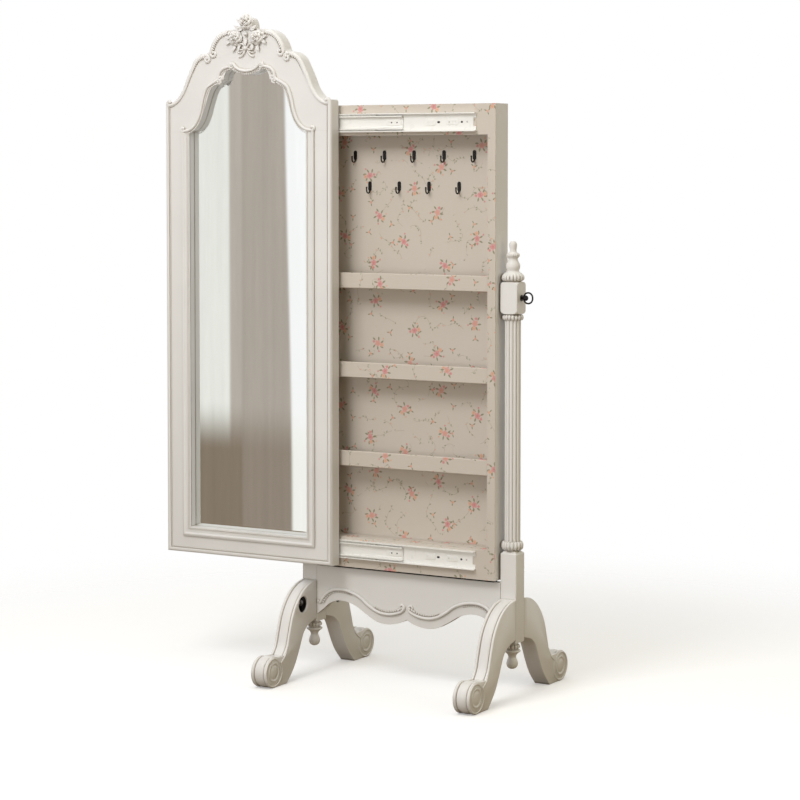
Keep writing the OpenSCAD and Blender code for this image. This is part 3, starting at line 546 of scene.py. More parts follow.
def add_piece(bm, name, body, slot, replaces=(), smooth=SHARP, recalculate=False, flat=False):
    """Makes a finished piece of a bmesh, rides it on a body and lets it stand for the nodes it replaces."""
    if recalculate:
        mend(bm)
    mesh = bpy.data.meshes.new(name)
    bm.to_mesh(mesh)
    bm.free()
    mesh.polygons.foreach_set("use_smooth", [True] * len(mesh.polygons))
    mesh.set_sharp_from_angle(angle=math.radians(smooth))
    mesh.materials.append(finish_of(slot))
    piece = placed(name, mesh)
    if flat:
        level = piece.modifiers.new("flat_faces", "WEIGHTED_NORMAL")
        level.keep_sharp = True
        level.weight = 100
    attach(piece, body)
    if replaces:
        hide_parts(*replaces)
    return piece


def dressed(node, width, segments=3):
    """A copy of a node with eased edges and smooth curves, in its own finish."""
    bm = ease(joined_copy(node), width, segments)
    add_piece(bm, f"{node}_finish", body_with(node), slot_of(node), (node,), flat=True)


def bridge(bm, rings, closed=True, back=False):
    """Faces from each ring of corners to the next, and from the last to the first where they run back.
    A ring of one corner is a pole, and a ring that isn't closed is a strip."""
    for first, second in zip(rings, rings[1:] + rings[:1] if back else rings[1:]):
        steps = max(len(first), len(second))
        for k in range(steps if closed else steps - 1):
            n = (k + 1) % steps
            corners = (first[k % len(first)], first[n % len(first)], second[n % len(second)],
                       second[k % len(second)])
            bm.faces.new(list(dict.fromkeys(corners)))


def fill_between(bm, *loops):
    """Flat faces between some closed loops of corners."""
    edges = [bm.edges.get(pair) or bm.edges.new(pair)
             for loop in loops for pair in zip(loop, loop[1:] + loop[:1])]
    bmesh.ops.triangle_fill(bm, use_beauty=True, use_dissolve=True, edges=edges)


def smooth_line(points, steps=6):
    """Points on a soft curve through some points."""
    line = []
    last = len(points) - 1
    for i in range(last):
        a, b, c, d = (Vector(points[min(max(i + k, 0), last)]) for k in (-1, 0, 1, 2))
        for step in range(steps):
            t = step / steps
            line.append(0.5 * (2 * b + (c - a) * t + (2 * a - 5 * b + 4 * c - d) * t * t
                               + (3 * b - a - 3 * c + d) * t ** 3))
    return line + [Vector(points[-1])]


def curled(line, side, first, last, turn, steps=22):
    """A line in X and Z that goes on into a curl to its left (1) or right (-1), from one radius to another."""
    line = [Vector(p) for p in line]
    heading = math.atan2(*(line[-1] - line[-2]).yx)
    here = line[-1].copy()
    for i in range(steps):
        share = (i + 0.5) / steps
        bend = math.radians(turn) / steps
        heading += side * bend
        reach = first + (last - first) * share ** 0.8
        here = here + Vector((math.cos(heading), math.sin(heading))) * reach * bend
        line.append(here.copy())
    return line


def on_plane(line, y):
    return [Vector((p[0], y, p[1])) for p in line]


def rib(bm, path, section, closed=False, widths=None, out=OUT):
    """Sweeps a section of (across, out) points along a path that lies square to the way out."""
    rings = []
    count = len(path)
    for i, here in enumerate(path):
        before = path[i - 1] if closed or i else here
        after = path[(i + 1) % count] if closed or i + 1 < count else here
        into = (here - before).normalized() if before != here else (after - here).normalized()
        away = (after - here).normalized() if after != here else into
        along = (into + away).normalized()
        side = along.cross(out)
        stretch = 1 / max(along.dot(away), 0.5)
        size = widths[i] if widths else 1
        rings.append([bm.verts.new(here + side * (u * size * stretch) + out * (v * size)) for u, v in section])
    bridge(bm, rings, back=closed)
    if not closed:
        bm.faces.new(rings[0])
        bm.faces.new(rings[-1][::-1])


def half_round(width, height, sink=1.0 * MM, steps=8):
    """A half-round section with its flat side sunk into what it lies on."""
    arc = [(width / 2 * math.cos(math.pi * i / steps), height * math.sin(math.pi * i / steps))
           for i in range(steps + 1)]
    return [(width / 2, -sink)] + arc + [(-width / 2, -sink)]


def ball(bm, centre, radius, squash=1.0):
    made = bmesh.ops.create_uvsphere(bm, u_segments=14, v_segments=10, radius=radius)
    for vert in made["verts"]:
        vert.co = Vector((vert.co.x, vert.co.y * squash, vert.co.z)) + centre


def outlines(node, y):
    """The closed edges of a node's flat faces at one depth, largest first, as points in X and Z."""
    bm = joined_copy(node)
    flat = [face for face in bm.faces if abs(face.normal.y) > 0.99
            and abs(face.calc_center_median().y - y) < NEAR]
    kept = set(flat)
    links = {}
    for face in flat:
        for edge in face.edges:
            if sum(1 for other in edge.link_faces if other in kept) == 1:
                a, b = edge.verts
                links.setdefault(a, []).append(b)
                links.setdefault(b, []).append(a)
    loops = []
    while links:
        start = next(iter(links))
        loop, here, before = [start], links[start][0], start
        while here is not start:
            loop.append(here)
            ahead = [v for v in links[here] if v is not before]
            before, here = here, ahead[0]
        for vert in loop:
            links.pop(vert, None)
        loops.append([Vector((vert.co.x, vert.co.z)) for vert in loop])
    bm.free()
    loops.sort(key=lambda loop: -abs(area(loop)))
    return [loop if area(loop) > 0 else loop[::-1] for loop in loops]


def area(loop):
    return sum(a[0] * b[1] - b[0] * a[1] for a, b in zip(loop, loop[1:] + loop[:1])) / 2


def inset(loop, distance, closed=True):
    """A line moved to its left, point for point; stretches too short to survive the move shrink to nothing."""
    count = len(loop)
    pieces = count if closed else count - 1
    along = [(loop[(i + 1) % count] - loop[i]).normalized() for i in range(pieces)]
    moved = [loop[i] + Vector((-along[i].y, along[i].x)) * distance for i in range(pieces)]

    def crossing(i, j, corner):
        turn = along[i].x * along[j].y - along[i].y * along[j].x
        if abs(turn) < 1e-4:
            return moved[j].copy() if (j - i) % pieces == 1 else (moved[i] + moved[j]) / 2
        gap = moved[j] - moved[i]
        meet = moved[i] + along[i] * ((gap.x * along[j].y - gap.y * along[j].x) / turn)
        reach = meet - corner
        limit = max(3 * abs(distance), 2 * (moved[i] - moved[j]).length)
        return meet if reach.length < limit else corner + reach.normalized() * limit

    alive = list(range(pieces))
    while True:
        starts = []
        for k, j in enumerate(alive):
            if k or closed:
                starts.append(crossing(alive[k - 1], j, loop[j]))
            else:
                starts.append(moved[j].copy())
        ends = starts[1:] + [starts[0] if closed else moved[alive[-1]]
                             + (loop[alive[-1] + 1] - loop[alive[-1]])]
        spans = [(end - start).dot(along[j]) for start, end, j in zip(starts, ends, alive)]
        worst = min(range(len(alive)), key=lambda k: spans[k])
        if spans[worst] >= -1e-7 or len(alive) <= (3 if closed else 1):
            break
        alive.pop(worst)
    result = []
    for i in range(count):
        later = next((k for k, j in enumerate(alive) if j >= i), None)
        if later is None:
            result.append(starts[0] if closed else ends[-1])
        else:
            result.append(starts[later])
    return [point.copy() for point in result]


def moulding(bm, line, section, y, closed=False):
    """Runs a section of (inwards, proud) points along a line in X and Z, with clean mitres."""
    rails = [[bm.verts.new((p.x, y - proud, p.y)) for p in inset(line, inwards, closed)]
             for inwards, proud in section]
    bridge(bm, rails, closed, back=True)
    if not closed:
        bm.faces.new([rail[0] for rail in rails])
        bm.faces.new([rail[-1] for rail in reversed(rails)])


def mend(bm):
    """Joins corners that lie together and turns every face outwards."""
    bmesh.ops.remove_doubles(bm, verts=bm.verts, dist=WELD)
    bmesh.ops.dissolve_degenerate(bm, dist=WELD, edges=bm.edges)
    bmesh.ops.recalc_face_normals(bm, faces=bm.faces)


def curl_both(line, start=None, end=None):
    """A line with a curl at its start, its end or both, each given as side, first radius, last radius, turn."""
    line = [Vector(p) for p in line]
    if end:
        line = curled(line, *end)
    if start:
        side, *rest = start
        line = curled(line[::-1], -side, *rest)[::-1]
    return line


def scroll(bm, line, y, width, height, start=None, end=None, tip=0.55, eye=0.5):
    """A carved half-round scroll on a face at depth y, with curled ends that taper round an eye."""
    path = curl_both(line, start, end)
    total = len(path)
    fade = max(4, total // 5)
    widths = []
    for i in range(total):
        share = 1.0
        if start:
            share = min(share, tip + (1 - tip) * min(1, i / fade))
        if end:
            share = min(share, tip + (1 - tip) * min(1, (total - 1 - i) / fade))
        widths.append(share)
    rib(bm, on_plane(path, y), half_round(width, height), widths=widths)
    for given, spot in ((start, path[0]), (end, path[-1])):
        if given:
            ball(bm, Vector((spot.x, y - height * 0.35, spot.y)), width * eye)


def shell(bm, grid, thickness):
    """A closed skin of some thickness behind a grid of points."""
    rows, columns = len(grid), len(grid[0])
    front, back = [], []
    for i in range(rows):
        for j in range(columns):
            du = grid[min(i + 1, rows - 1)][j] - grid[max(i - 1, 0)][j]
            dv = grid[i][min(j + 1, columns - 1)] - grid[i][max(j - 1, 0)]
            normal = du.cross(dv).normalized()
            front.append(bm.verts.new(grid[i][j]))
            back.append(bm.verts.new(grid[i][j] - normal * thickness))

    def at(side, i, j):
        return side[i * columns + j]

    for i in range(rows - 1):
        for j in range(columns - 1):
            bm.faces.new((at(front, i, j), at(front, i + 1, j), at(front, i + 1, j + 1), at(front, i, j + 1)))
            bm.faces.new((at(back, i, j), at(back, i, j + 1), at(back, i + 1, j + 1), at(back, i + 1, j)))

    rim = ([(i, 0) for i in range(rows)] + [(rows - 1, j) for j in range(1, columns)]
           + [(i, columns - 1) for i in range(rows - 2, -1, -1)] + [(0, j) for j in range(columns - 2, 0, -1)])
    for (i, j), (k, l) in zip(rim, rim[1:] + rim[:1]):
        bm.faces.new((at(front, i, j), at(back, i, j), at(back, k, l), at(front, k, l)))


# ---- Geometry trees ----

def socket_id(tree, name):
    return next(item.identifier for item in tree.interface.items_tree
                if item.item_type == "SOCKET" and item.in_out == "INPUT" and item.name == name)


PEARLS = "pearls_along_a_line"


def pearls_tree():
    """Pearls at an even pitch along a mesh's edges, turned to follow them, as tall and wide as they swell."""
    tree = bpy.data.node_groups.new(PEARLS, "GeometryNodeTree")
    for name, way, kind in (("Line", "INPUT", "Geometry"), ("Pitch", "INPUT", "Float"),
                            ("Size", "INPUT", "Vector"), ("Finish", "INPUT", "Material"),
                            ("Pearls", "OUTPUT", "Geometry")):
        tree.interface.new_socket(name, in_out=way, socket_type=f"NodeSocket{kind}")
    new, link = tree.nodes.new, tree.links.new
    source, result = new("NodeGroupInput"), new("NodeGroupOutput")
    curve, spaced = new("GeometryNodeMeshToCurve"), new("GeometryNodeResampleCurve")
    spaced.mode = "LENGTH"
    pearl = new("GeometryNodeMeshUVSphere")
    pearl.inputs["Segments"].default_value = 10
    pearl.inputs["Rings"].default_value = 7
    pearl.inputs["Radius"].default_value = 1.0
    soft, tangent = new("GeometryNodeSetShadeSmooth"), new("GeometryNodeInputTangent")
    turn = new("FunctionNodeAlignRotationToVector")
    turn.axis = "X"
    turn.pivot_axis = "AUTO"
    swell, ways = new("GeometryNodeInputNamedAttribute"), new("ShaderNodeCombineXYZ")
    swell.inputs["Name"].default_value = "swell"
    ways.inputs["X"].default_value = 1.0
    grow = new("ShaderNodeVectorMath")
    grow.operation = "MULTIPLY"
    place, real = new("GeometryNodeInstanceOnPoints"), new("GeometryNodeRealizeInstances")
    paint = new("GeometryNodeSetMaterial")
    link(source.outputs["Line"], curve.inputs["Mesh"])
    link(curve.outputs["Curve"], spaced.inputs["Curve"])
    link(source.outputs["Pitch"], spaced.inputs["Length"])
    link(pearl.outputs["Mesh"], soft.inputs["Geometry"])
    link(tangent.outputs["Tangent"], turn.inputs["Vector"])
    link(spaced.outputs["Curve"], place.inputs["Points"])
    link(soft.outputs["Geometry"], place.inputs["Instance"])
    link(turn.outputs["Rotation"], place.inputs["Rotation"])
    link(swell.outputs["Attribute"], ways.inputs["Y"])
    link(swell.outputs["Attribute"], ways.inputs["Z"])
    link(source.outputs["Size"], grow.inputs[0])
    link(ways.outputs[0], grow.inputs[1])
    link(grow.outputs[0], place.inputs["Scale"])
    link(place.outputs["Instances"], real.inputs["Geometry"])
    link(real.outputs["Geometry"], paint.inputs["Geometry"])
    link(source.outputs["Finish"], paint.inputs["Material"])
    link(paint.outputs["Geometry"], result.inputs["Pearls"])
    return tree


def pearls(name, lines, body, closed=False, radius=None, pitch=None, shape=(1, 1, 1), swells=None):
    """Runs the pearls along some lines and keeps the result as a plain mesh on a body."""
    carving = settings().carving
    radius = radius or carving.pearl
    tree = bpy.data.node_groups.get(PEARLS) or pearls_tree()
    points, edges = [], []
    for line in lines:
        start, count = len(points), len(line)
        points += [tuple(p) for p in line]
        edges += [(start + i, start + (i + 1) % count) for i in range(count if closed else count - 1)]
    mesh = bpy.data.meshes.new(f"{name}_line")
    mesh.from_pydata(points, edges, [])
    swell = [share for line in swells for share in line] if swells else [1.0] * len(points)
    mesh.attributes.new("swell", "FLOAT", "POINT").data.foreach_set("value", swell)
    maker = placed(f"{name}_line", mesh)
    grower = maker.modifiers.new("grow", "NODES")
    grower.node_group = tree
    for key, value in (("Pitch", pitch or carving.pearl_pitch), ("Size", [radius * k for k in shape]),
                       ("Finish", finish_of("pearl_white"))):
        grower[socket_id(tree, key)] = value
    result = bpy.data.meshes.new_from_object(maker.evaluated_get(bpy.context.evaluated_depsgraph_get()))
    maker.modifiers.remove(grower)
    bpy.data.objects.remove(maker)
    result.name = name
    piece = placed(name, result)
    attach(piece, body)


def bead_ring(name, body, x, z, reach, bead_h, count=None):
    """Long beads side by side round a collar."""
    count = count or settings().carving.collar_pearls
    ring = [Vector((x + a, b, z)) for a, b in circle(reach, 96)]
    pitch = math.tau * reach / count
    pearls(name, [ring], body, True, pitch, pitch * 0.9995, (0.49, 0.62, 0.5 * bead_h / pitch))


# ---- Finishes on the frame ----

def give_finish(node, slot):
    """Gives a node of the frame a finish in place of its own."""
    materials = frame["nodes"][node].data.materials
    materials.clear()
    materials.append(finish_of(slot))


class CHEVAL_OT_finish_frame(Operator):
    """Gives every part of the frame the finish of its own material"""
    bl_idname = "cheval.finish_frame"
    bl_label = "Finish the frame"

    def execute(self, context):
        for node in frame["nodes"]:
            give_finish(node, slot_of(node))
        return {"FINISHED"}


# ---- Boards ----

BOARDS = ("apron", "cabinet_left_side", "cabinet_right_side", "cabinet_top", "cabinet_bottom", "cabinet_back",
          "top_rail", "bottom_rail", "upper_shelf", "middle_shelf", "lower_shelf", "mirror_backing")
LIPS = ("upper_lip", "middle_lip", "lower_lip")


class CHEVAL_OT_boards(Operator):
    """Eases the edges of the boards and the covered lips"""
    bl_idname = "cheval.boards"
    bl_label = "Boards"

    def execute(self, context):
        for node in BOARDS:
            dressed(node, 0.8 * MM)
        for node in LIPS:
            dressed(node, 2.2 * MM, 4)
        return {"FINISHED"}


# ---- Legs ----

# Share of the leg's thickness from its middle, and how far the moulded edge lies under the crown there
BANDS = ((-1.0, 2.3), (-0.975, 1.0), (-0.93, 0.3), (-0.84, 0.0), (-0.76, 0.4), (-0.70, 1.5), (-0.665, 3.2),
         (-0.645, 4.6), (-0.625, 4.6), (-0.60, 3.1), (-0.54, 2.0), (-0.42, 1.15), (-0.28, 0.5), (-0.14, 0.12))
LEG_BANDS = BANDS + ((0.0, 0.0),) + tuple((-t, d) for t, d in reversed(BANDS))


def leg_outline(node):
    """The outline of a leg as points in Y and Z, from the top of its root round the scroll and back."""
    low, high = box_of(node)
    bm = joined_copy(node)
    flat = [face for face in bm.faces if abs(face.normal.x) > 0.99
            and abs(abs(face.calc_center_median().x) - max(abs(low.x), abs(high.x))) < NEAR]
    side = max(flat, key=lambda face: face.calc_area())
    loop = [Vector((abs(vert.co.y), vert.co.z)) for vert in side.verts]
    bm.free()
    if area(loop) > 0:
        loop.reverse()
    start = max(range(len(loop)), key=lambda i: loop[i].y - 10 * loop[i].x)
    return loop[start:] + loop[:start]


POCKET_R = 20 * MM
POCKET_PAST = 11 * MM  # How far a pocket runs past the middle of its leg
POCKET_EASE = 1.2 * MM  # Eased edge of the pocket's mouth
POCKET_STEPS = 48
# Painted shade: a black liner stands in for the shade deep in each bolt pocket
SHADE_LINER_FROM = 5 * MM  # Depth at which the pocket's liner begins
SCROLL_R = 38 * MM


def pocket_of(name):
    boxes = {item["name"]: item["box_m"] for item in frame["record"]["physics"]["openings"]}
    return boxes[name]


def pocket_centre(side, end):
    """The middle of a leg's bolt pocket in Y and Z, its radius and its depth."""
    low, high = pocket_of(f"{side}_{end}_pocket")
    leg_low, leg_high = box_of(f"{side}_{end}_leg")
    centre = (low[1] + high[1]) / 2, (low[2] + high[2]) / 2
    return centre, POCKET_R, (leg_high.x - leg_low.x) / 2 + POCKET_PAST


def make_leg(side, s, end, f):
    """Sweeps the banded edge round a leg's outline, with its bolt pocket, and gives what its rims need."""
    node = f"{side}_{end}_leg"
    loop = leg_outline(node)
    low, high = box_of(node)
    mid_x, half_t = (low.x + high.x) / 2, (high.x - low.x) / 2
    count = len(loop)
    last = min(i for i, p in enumerate(loop) if p.y < WELD)
    # The moulding fades in under the post and out at the sole
    moulded = [min(1.0, i / 4) * min(1.0, (last - i) / 3) if i <= last else 0.0 for i in range(count)]
    bm = bmesh.new()
    rings = []
    for t, depth in LEG_BANDS:
        ring = []
        for i, here in enumerate(loop):
            into, away = (here - loop[i - 1]).normalized(), (loop[(i + 1) % count] - here).normalized()
            along = (into + away).normalized()
            inward = Vector((along.y, -along.x))
            d = depth * MM * moulded[i]
            if moulded[i] < 1:
                d = max(d, 1.2 * MM * max(0.0, (abs(t) - 0.96) / 0.04))
            p = here + inward * d / max(along.dot(away), 0.75)
            ring.append(bm.verts.new((mid_x + t * half_t, f * p.x, p.y)))
        rings.append(ring)
    bridge(bm, rings)
    inner_ring, outer_ring = (rings[0], rings[-1]) if s > 0 else (rings[-1], rings[0])
    bm.faces.new(outer_ring)
    (y, z), radius, deep = pocket_centre(side, end)
    face_x = mid_x - s * half_t
    pocket = [[bm.verts.new((x, y + a, z + b)) for a, b in circle(r, POCKET_STEPS)]
              for x, r in ((face_x, radius + POCKET_EASE), (face_x + s * POCKET_EASE, radius),
                           (face_x + s * deep, radius))]
    bridge(bm, pocket)
    bm.faces.new(pocket[-1])
    fill_between(bm, inner_ring, pocket[0])
    bmesh.ops.recalc_face_normals(bm, faces=bm.faces)
    add_piece(bm, f"{node}_carved", "stand", "pearl_white", (node,), 34)
    return loop, mid_x, half_t


def turned(bm, place, profile, steps=40):
    """Turns a profile of (radius, height) points and closes it where the radius is nothing."""
    rings = [[bm.verts.new(place(a, b, h)) for a, b in ([(0, 0)] if r < WELD else circle(r, steps))]
             for r, h in profile]
    bridge(bm, rings)
    for ring in (rings[0], rings[-1]):
        if len(ring) > 1:
            bm.faces.new(ring)


# Button in the eye of the scroll: radius, height over the leg's face
BUTTON = ((25.0, -0.6), (24.6, 0.8), (23.2, 1.9), (21.4, 2.1), (19.6, 1.5), (18.2, 0.5), (17.0, 0.15),
          (15.6, 0.5), (13.6, 1.4), (9.5, 2.1), (4.5, 2.4), (0.0, 2.5))
# Turn round the scroll from its neck, and the radius of the rim there
VOLUTE = ((150, 36.6), (180, 36.0), (270, 35.4), (360, 35.0), (430, 33.4), (500, 30.4), (560, 28.0),
          (610, 26.2))


def leg_rims(side, s, end, f, loop, mid_x, half_t):
    """The rim that leaves the moulded edge at the scroll's neck and winds round a button, on both faces."""
    tip = max(range(len(loop)), key=lambda i: loop[i].x)
    centre = Vector((loop[tip].x - SCROLL_R, SCROLL_R))
    lead = [p for p in inset(loop[2:tip][::-1], 3.4 * MM, False)[::-1] if (p - centre).length > SCROLL_R * 1.06]
    spiral = []
    for (a, r), (b, q) in zip(VOLUTE, VOLUTE[1:]):
        for i in range(max(2, (b - a) // 8)):
            share = i / max(2, (b - a) // 8)
            turn = math.radians(a + (b - a) * share)
            spiral.append(centre + Vector((math.cos(turn), math.sin(turn))) * (r + (q - r) * share) * MM)
    path = smooth_line(lead[-6:-1:2] + spiral[:1], 6)[:-1] + spiral
    bm = bmesh.new()
    for way in (-1, 1):
        x = mid_x + way * (half_t - 0.4 * MM)
        points = [Vector((x, f * p.x, p.y)) for p in path]
        total = len(points)
        widths = [min(1.0, 0.2 + 0.8 * i / 14, 0.5 + 0.5 * (total - 1 - i) / 16) for i in range(total)]
        rib(bm, points, half_round(5.4 * MM, 2.2 * MM, 0.6 * MM, 6), widths=widths, out=Vector((way, 0, 0)))
        turned(bm, lambda a, b, h: Vector((x + way * h, f * centre.x + a, centre.y + b)),
               [(r * MM, h * MM) for r, h in BUTTON])
    add_piece(bm, f"{side}_{end}_leg_rims", "stand", "pearl_white", recalculate=True)


class CHEVAL_OT_legs(Operator):
    """Carves the four legs: a banded edge, a rolled scroll and a rim on each face, and black liners that paint
    the shade deep in the bolt pockets
    """
    bl_idname = "cheval.legs"
    bl_label = "Legs"

    def execute(self, context):
        bm = bmesh.new()
        for side, s in SIDES:
            for end, f in (("front", -1), ("rear", 1)):
                leg_rims(side, s, end, f, *make_leg(side, s, end, f))
                # Painted shade: a black cup lines each bolt pocket past its mouth, where its deep shade falls
                centre, radius, deep = pocket_centre(side, end)
                low, high = box_of(f"{side}_{end}_leg")
                mouth = low.x if s > 0 else high.x
                shade_cup = [(19.8 * MM, deep), (19.8 * MM, SHADE_LINER_FROM), (19.2 * MM, SHADE_LINER_FROM - 0.5 * MM),
                       (18.6 * MM, SHADE_LINER_FROM), (18.6 * MM, deep - 1.4 * MM), (0.0, deep - 1.4 * MM)]
                turned(bm, lambda a, b, h: Vector((mouth + s * h, centre[0] + a, centre[1] + b)), shade_cup)
        add_piece(bm, "pocket_liners", "stand", "iron_black", recalculate=True)
        return {"FINISHED"}


# ---- Apron ----

# Middle of the carved roll on the right half, from its centre curl to the post: X, and Z from the apron's top
APRON_ROLL = ((7.5, -90), (16, -97), (38, -104), (63, -105.5), (86, -100.5), (111, -87), (133, -71),
              (155, -61.5), (180, -56.5), (204, -57.5), (224, -65), (240, -80), (248, -92))


class CHEVAL_OT_apron_carving(Operator):
    """The carved roll along the apron's scallops, its paired curls and its beads"""
    bl_idname = "cheval.apron_carving"
    bl_label = "Apron carving"

    def execute(self, context):
        low, high = box_of("apron")
        front, mid = low.y, (low.x + high.x) / 2
        carving = settings().carving
        line = smooth_line([Vector((x * MM, high.z + z * MM)) for x, z in APRON_ROLL], 7)
        bm = bmesh.new()
        rows = {1.45: [], 1.2: [], 0.95: []}
        above, below = inset(line, 6.8 * MM, False), inset(line, -6.6 * MM, False)
        total = len(line) - 1
        for s in (-1, 1):
            def half(points):
                return [Vector((mid + s * p.x, p.y)) for p in points]
            # From the post to the middle, so that both curls lie at the end of their line
            scroll(bm, half(line[::-1]), front, 8.8 * MM, 5.2 * MM, (-s, 4.6 * MM, 2.6 * MM, 150),
                   (-s, 7.6 * MM, 2.8 * MM, 380), tip=0.5, eye=0.42)
            for size, points, first, last in ((1.45, above, 0.055, 0.10), (1.2, above, 0.112, 0.20),
                                              (0.95, above, 0.205, 0.36), (1.45, below, 0.93, 0.965),
                                              (1.2, below, 0.85, 0.925), (0.95, below, 0.60, 0.845)):
                rows[size].append(half(points[round(first * total):round(last * total) + 1]))
        add_piece(bm, "apron_roll", "stand", "pearl_white", ("apron_moulding",), 60, recalculate=True)
        for index, (size, lines) in enumerate(rows.items()):
            radius = carving.pearl * size
            pearls(f"apron_pearls_{index}", [on_plane(points, front - 0.5 * radius) for points in lines],
                   "stand", radius=radius, pitch=radius * 2.35, shape=(0.95, 1.1, 1.0))
        return {"FINISHED"}


# ---- Drop finials ----

# Radius and height from the top, down a drop finial of this length
DROP_TALL = 58
DROP = ((0, 0), (10.5, 0), (11.4, -1.6), (13.0, -3.2), (13.2, -15.6), (14.6, -16.6), (18.8, -17.6),
        (20.2, -18.8), (20.2, -20.0), (19.0, -21.2), (15.0, -23.4), (11.4, -26.6), (9.7, -30.0),
        (9.4, -32.4), (10.0, -35.0), (11.9, -38.4), (13.4, -42.4), (13.9, -46.4), (13.4, -50.2),
        (11.6, -53.6), (8.4, -56.2), (4.4, -57.7), (0, -58))


class CHEVAL_OT_drop_finials(Operator):
    """Turned drops under the posts: a ring of beads, a flared skirt and a bulb"""
    bl_idname = "cheval.drop_finials"
    bl_label = "Drop finials"

    def execute(self, context):
        for side, _ in SIDES:
            node = f"{side}_drop_finial"
            low, high = box_of(node)
            centre = middle_of(node)
            top = min(high.z, box_of(f"{side}_post")[0].z)
            tall = (top - low.z) / DROP_TALL
            bm = bmesh.new()
            turned(bm, lambda a, b, h: Vector((centre.x + a, centre.y + b, top + h)),
                   [(r * MM, h * tall) for r, h in DROP], 48)
            add_piece(bm, f"{node}_turned", "stand", "pearl_white", (node,), 50, recalculate=True)
            bead_ring(f"{side}_drop_beads", "stand", centre.x, top - 9.6 * tall, 14.4 * MM, 10.8 * MM, count=11)
        return {"FINISHED"}


# ---- Posts and finials ----

POST_TURN_Z = 353 * MM
PIVOT_H = 77 * MM
PIVOT_HALF = 22.7 * MM
PIVOT_Z = 958 * MM
BORE_R = 6 * MM
BORE_STEPS = 32
# Radius and height over its end, up the turned shoulder of the pivot block
SHOULDER = ((19.5, 0.0), (22.7, 0.25), (25.0, 0.7), (27.0, 1.5), (28.6, 2.7), (29.9, 4.3), (30.8, 6.4),
            (31.3, 9.0))


def pivot_block(bm, centre, low, high, bore, bore_z):
    """A square block whose corners are turned away at both ends, bored through along X."""
    half, steps = PIVOT_HALF, 8
    rows = ([(r * MM, low + h * MM) for r, h in SHOULDER]
            + [(r * MM, high - h * MM) for r, h in reversed(SHOULDER)])
    rings = []
    for r, z in rows:
        lean = math.acos(min(1.0, half / r)) if r > half else 0.0
        ring = []
        for quarter in range(4):
            start, end = quarter * math.pi / 2 + lean, (quarter + 1) * math.pi / 2 - lean
            for i in range(steps + 1):
                turn = start + (end - start) * i / steps
                ring.append(bm.verts.new((centre.x + r * math.cos(turn), centre.y + r * math.sin(turn), z)))
        rings.append(ring)
    count = len(rings[0])
    flats = {quarter * (steps + 1) + steps: (quarter + 1) % 4 for quarter in range(4)}
    sides = {quarter: [] for quarter in range(4)}
    for first, second in zip(rings, rings[1:]):
        for k in range(count):
            n = (k + 1) % count
            if k in flats:
                sides[flats[k]].append((first[k], first[n], second[n], second[k]))
            else:
                bm.faces.new((first[k], first[n], second[n], second[k]))
    bm.faces.new(rings[0])
    bm.faces.new(rings[-1][::-1])
    mouths = []
    for quarter, quads in sides.items():
        edge = [quads[1][0]] + [quad[1] for quad in quads[1:]] + [quads[-2][2]]
        rim = list(dict.fromkeys(edge + [quad[3] for quad in reversed(quads[1:-1])]))
        if quarter % 2:
            bm.faces.new(rim)
            continue
        x = rim[0].co.x
        mouths.append([bm.verts.new((x, centre.y + a, bore_z + b)) for a, b in circle(bore, BORE_STEPS)])
        fill_between(bm, rim, mouths[-1])
    bridge(bm, mouths)


# Radius, height over the pivot block and depth of the lobes, up a finial 97 mm tall
FINIAL = ((0.0, 0.0, 0.0), (19.4, 0.0, 0.0), (20.0, 1.2, 0.6), (23.4, 2.2, 2.6), (26.0, 4.4, 3.6),
          (27.2, 7.2, 4.0), (27.4, 10.0, 4.0), (26.8, 13.0, 3.6), (25.4, 15.6, 2.6), (23.0, 18.2, 1.5),
          (20.0, 20.6, 0.8), (17.0, 22.6, 0.3), (15.0, 24.0, 0.0), (14.3, 25.6, 0.0), (15.0, 28.4, 0.0),
          (16.6, 32.4, 0.0), (17.2, 36.6, 0.0), (16.6, 41.0, 0.0), (14.6, 45.6, 0.0), (12.2, 50.0, 0.0),
          (11.2, 53.6, 0.0), (11.6, 56.0, 0.0), (13.6, 58.2, 0.6), (15.4, 60.2, 1.5), (16.0, 62.8, 1.9),
          (15.6, 65.4, 1.5), (14.0, 67.4, 0.6), (11.4, 69.0, 0.0), (9.0, 70.8, 0.0), (8.2, 73.0, 0.0),
          (8.3, 77.0, 0.0), (8.9, 82.0, 0.0), (9.3, 87.0, 0.0), (9.0, 91.0, 0.0), (7.4, 94.4, 0.0),
          (4.2, 96.4, 0.0), (0.0, 97.0, 0.0))
LOBES = 18
LOBE_STEPS = 6


def lobed_finial(bm, x, foot):
    """A turned finial on the post's top, with lobes cut round its bulbs."""
    rings = []
    for r, h, depth in FINIAL:
        z = foot + h * MM
        if r == 0:
            rings.append([bm.verts.new((x, 0, z))])
            continue
        ring = []
        for i in range(LOBES * LOBE_STEPS):
            u = 2 * (i % LOBE_STEPS) / LOBE_STEPS - 1
            reach = (r - depth * (1 - math.sqrt(1 - u * u))) * MM
            turn = math.tau * i / (LOBES * LOBE_STEPS)
            ring.append(bm.verts.new((x + reach * math.cos(turn), reach * math.sin(turn), z)))
        rings.append(ring)
    bridge(bm, rings)


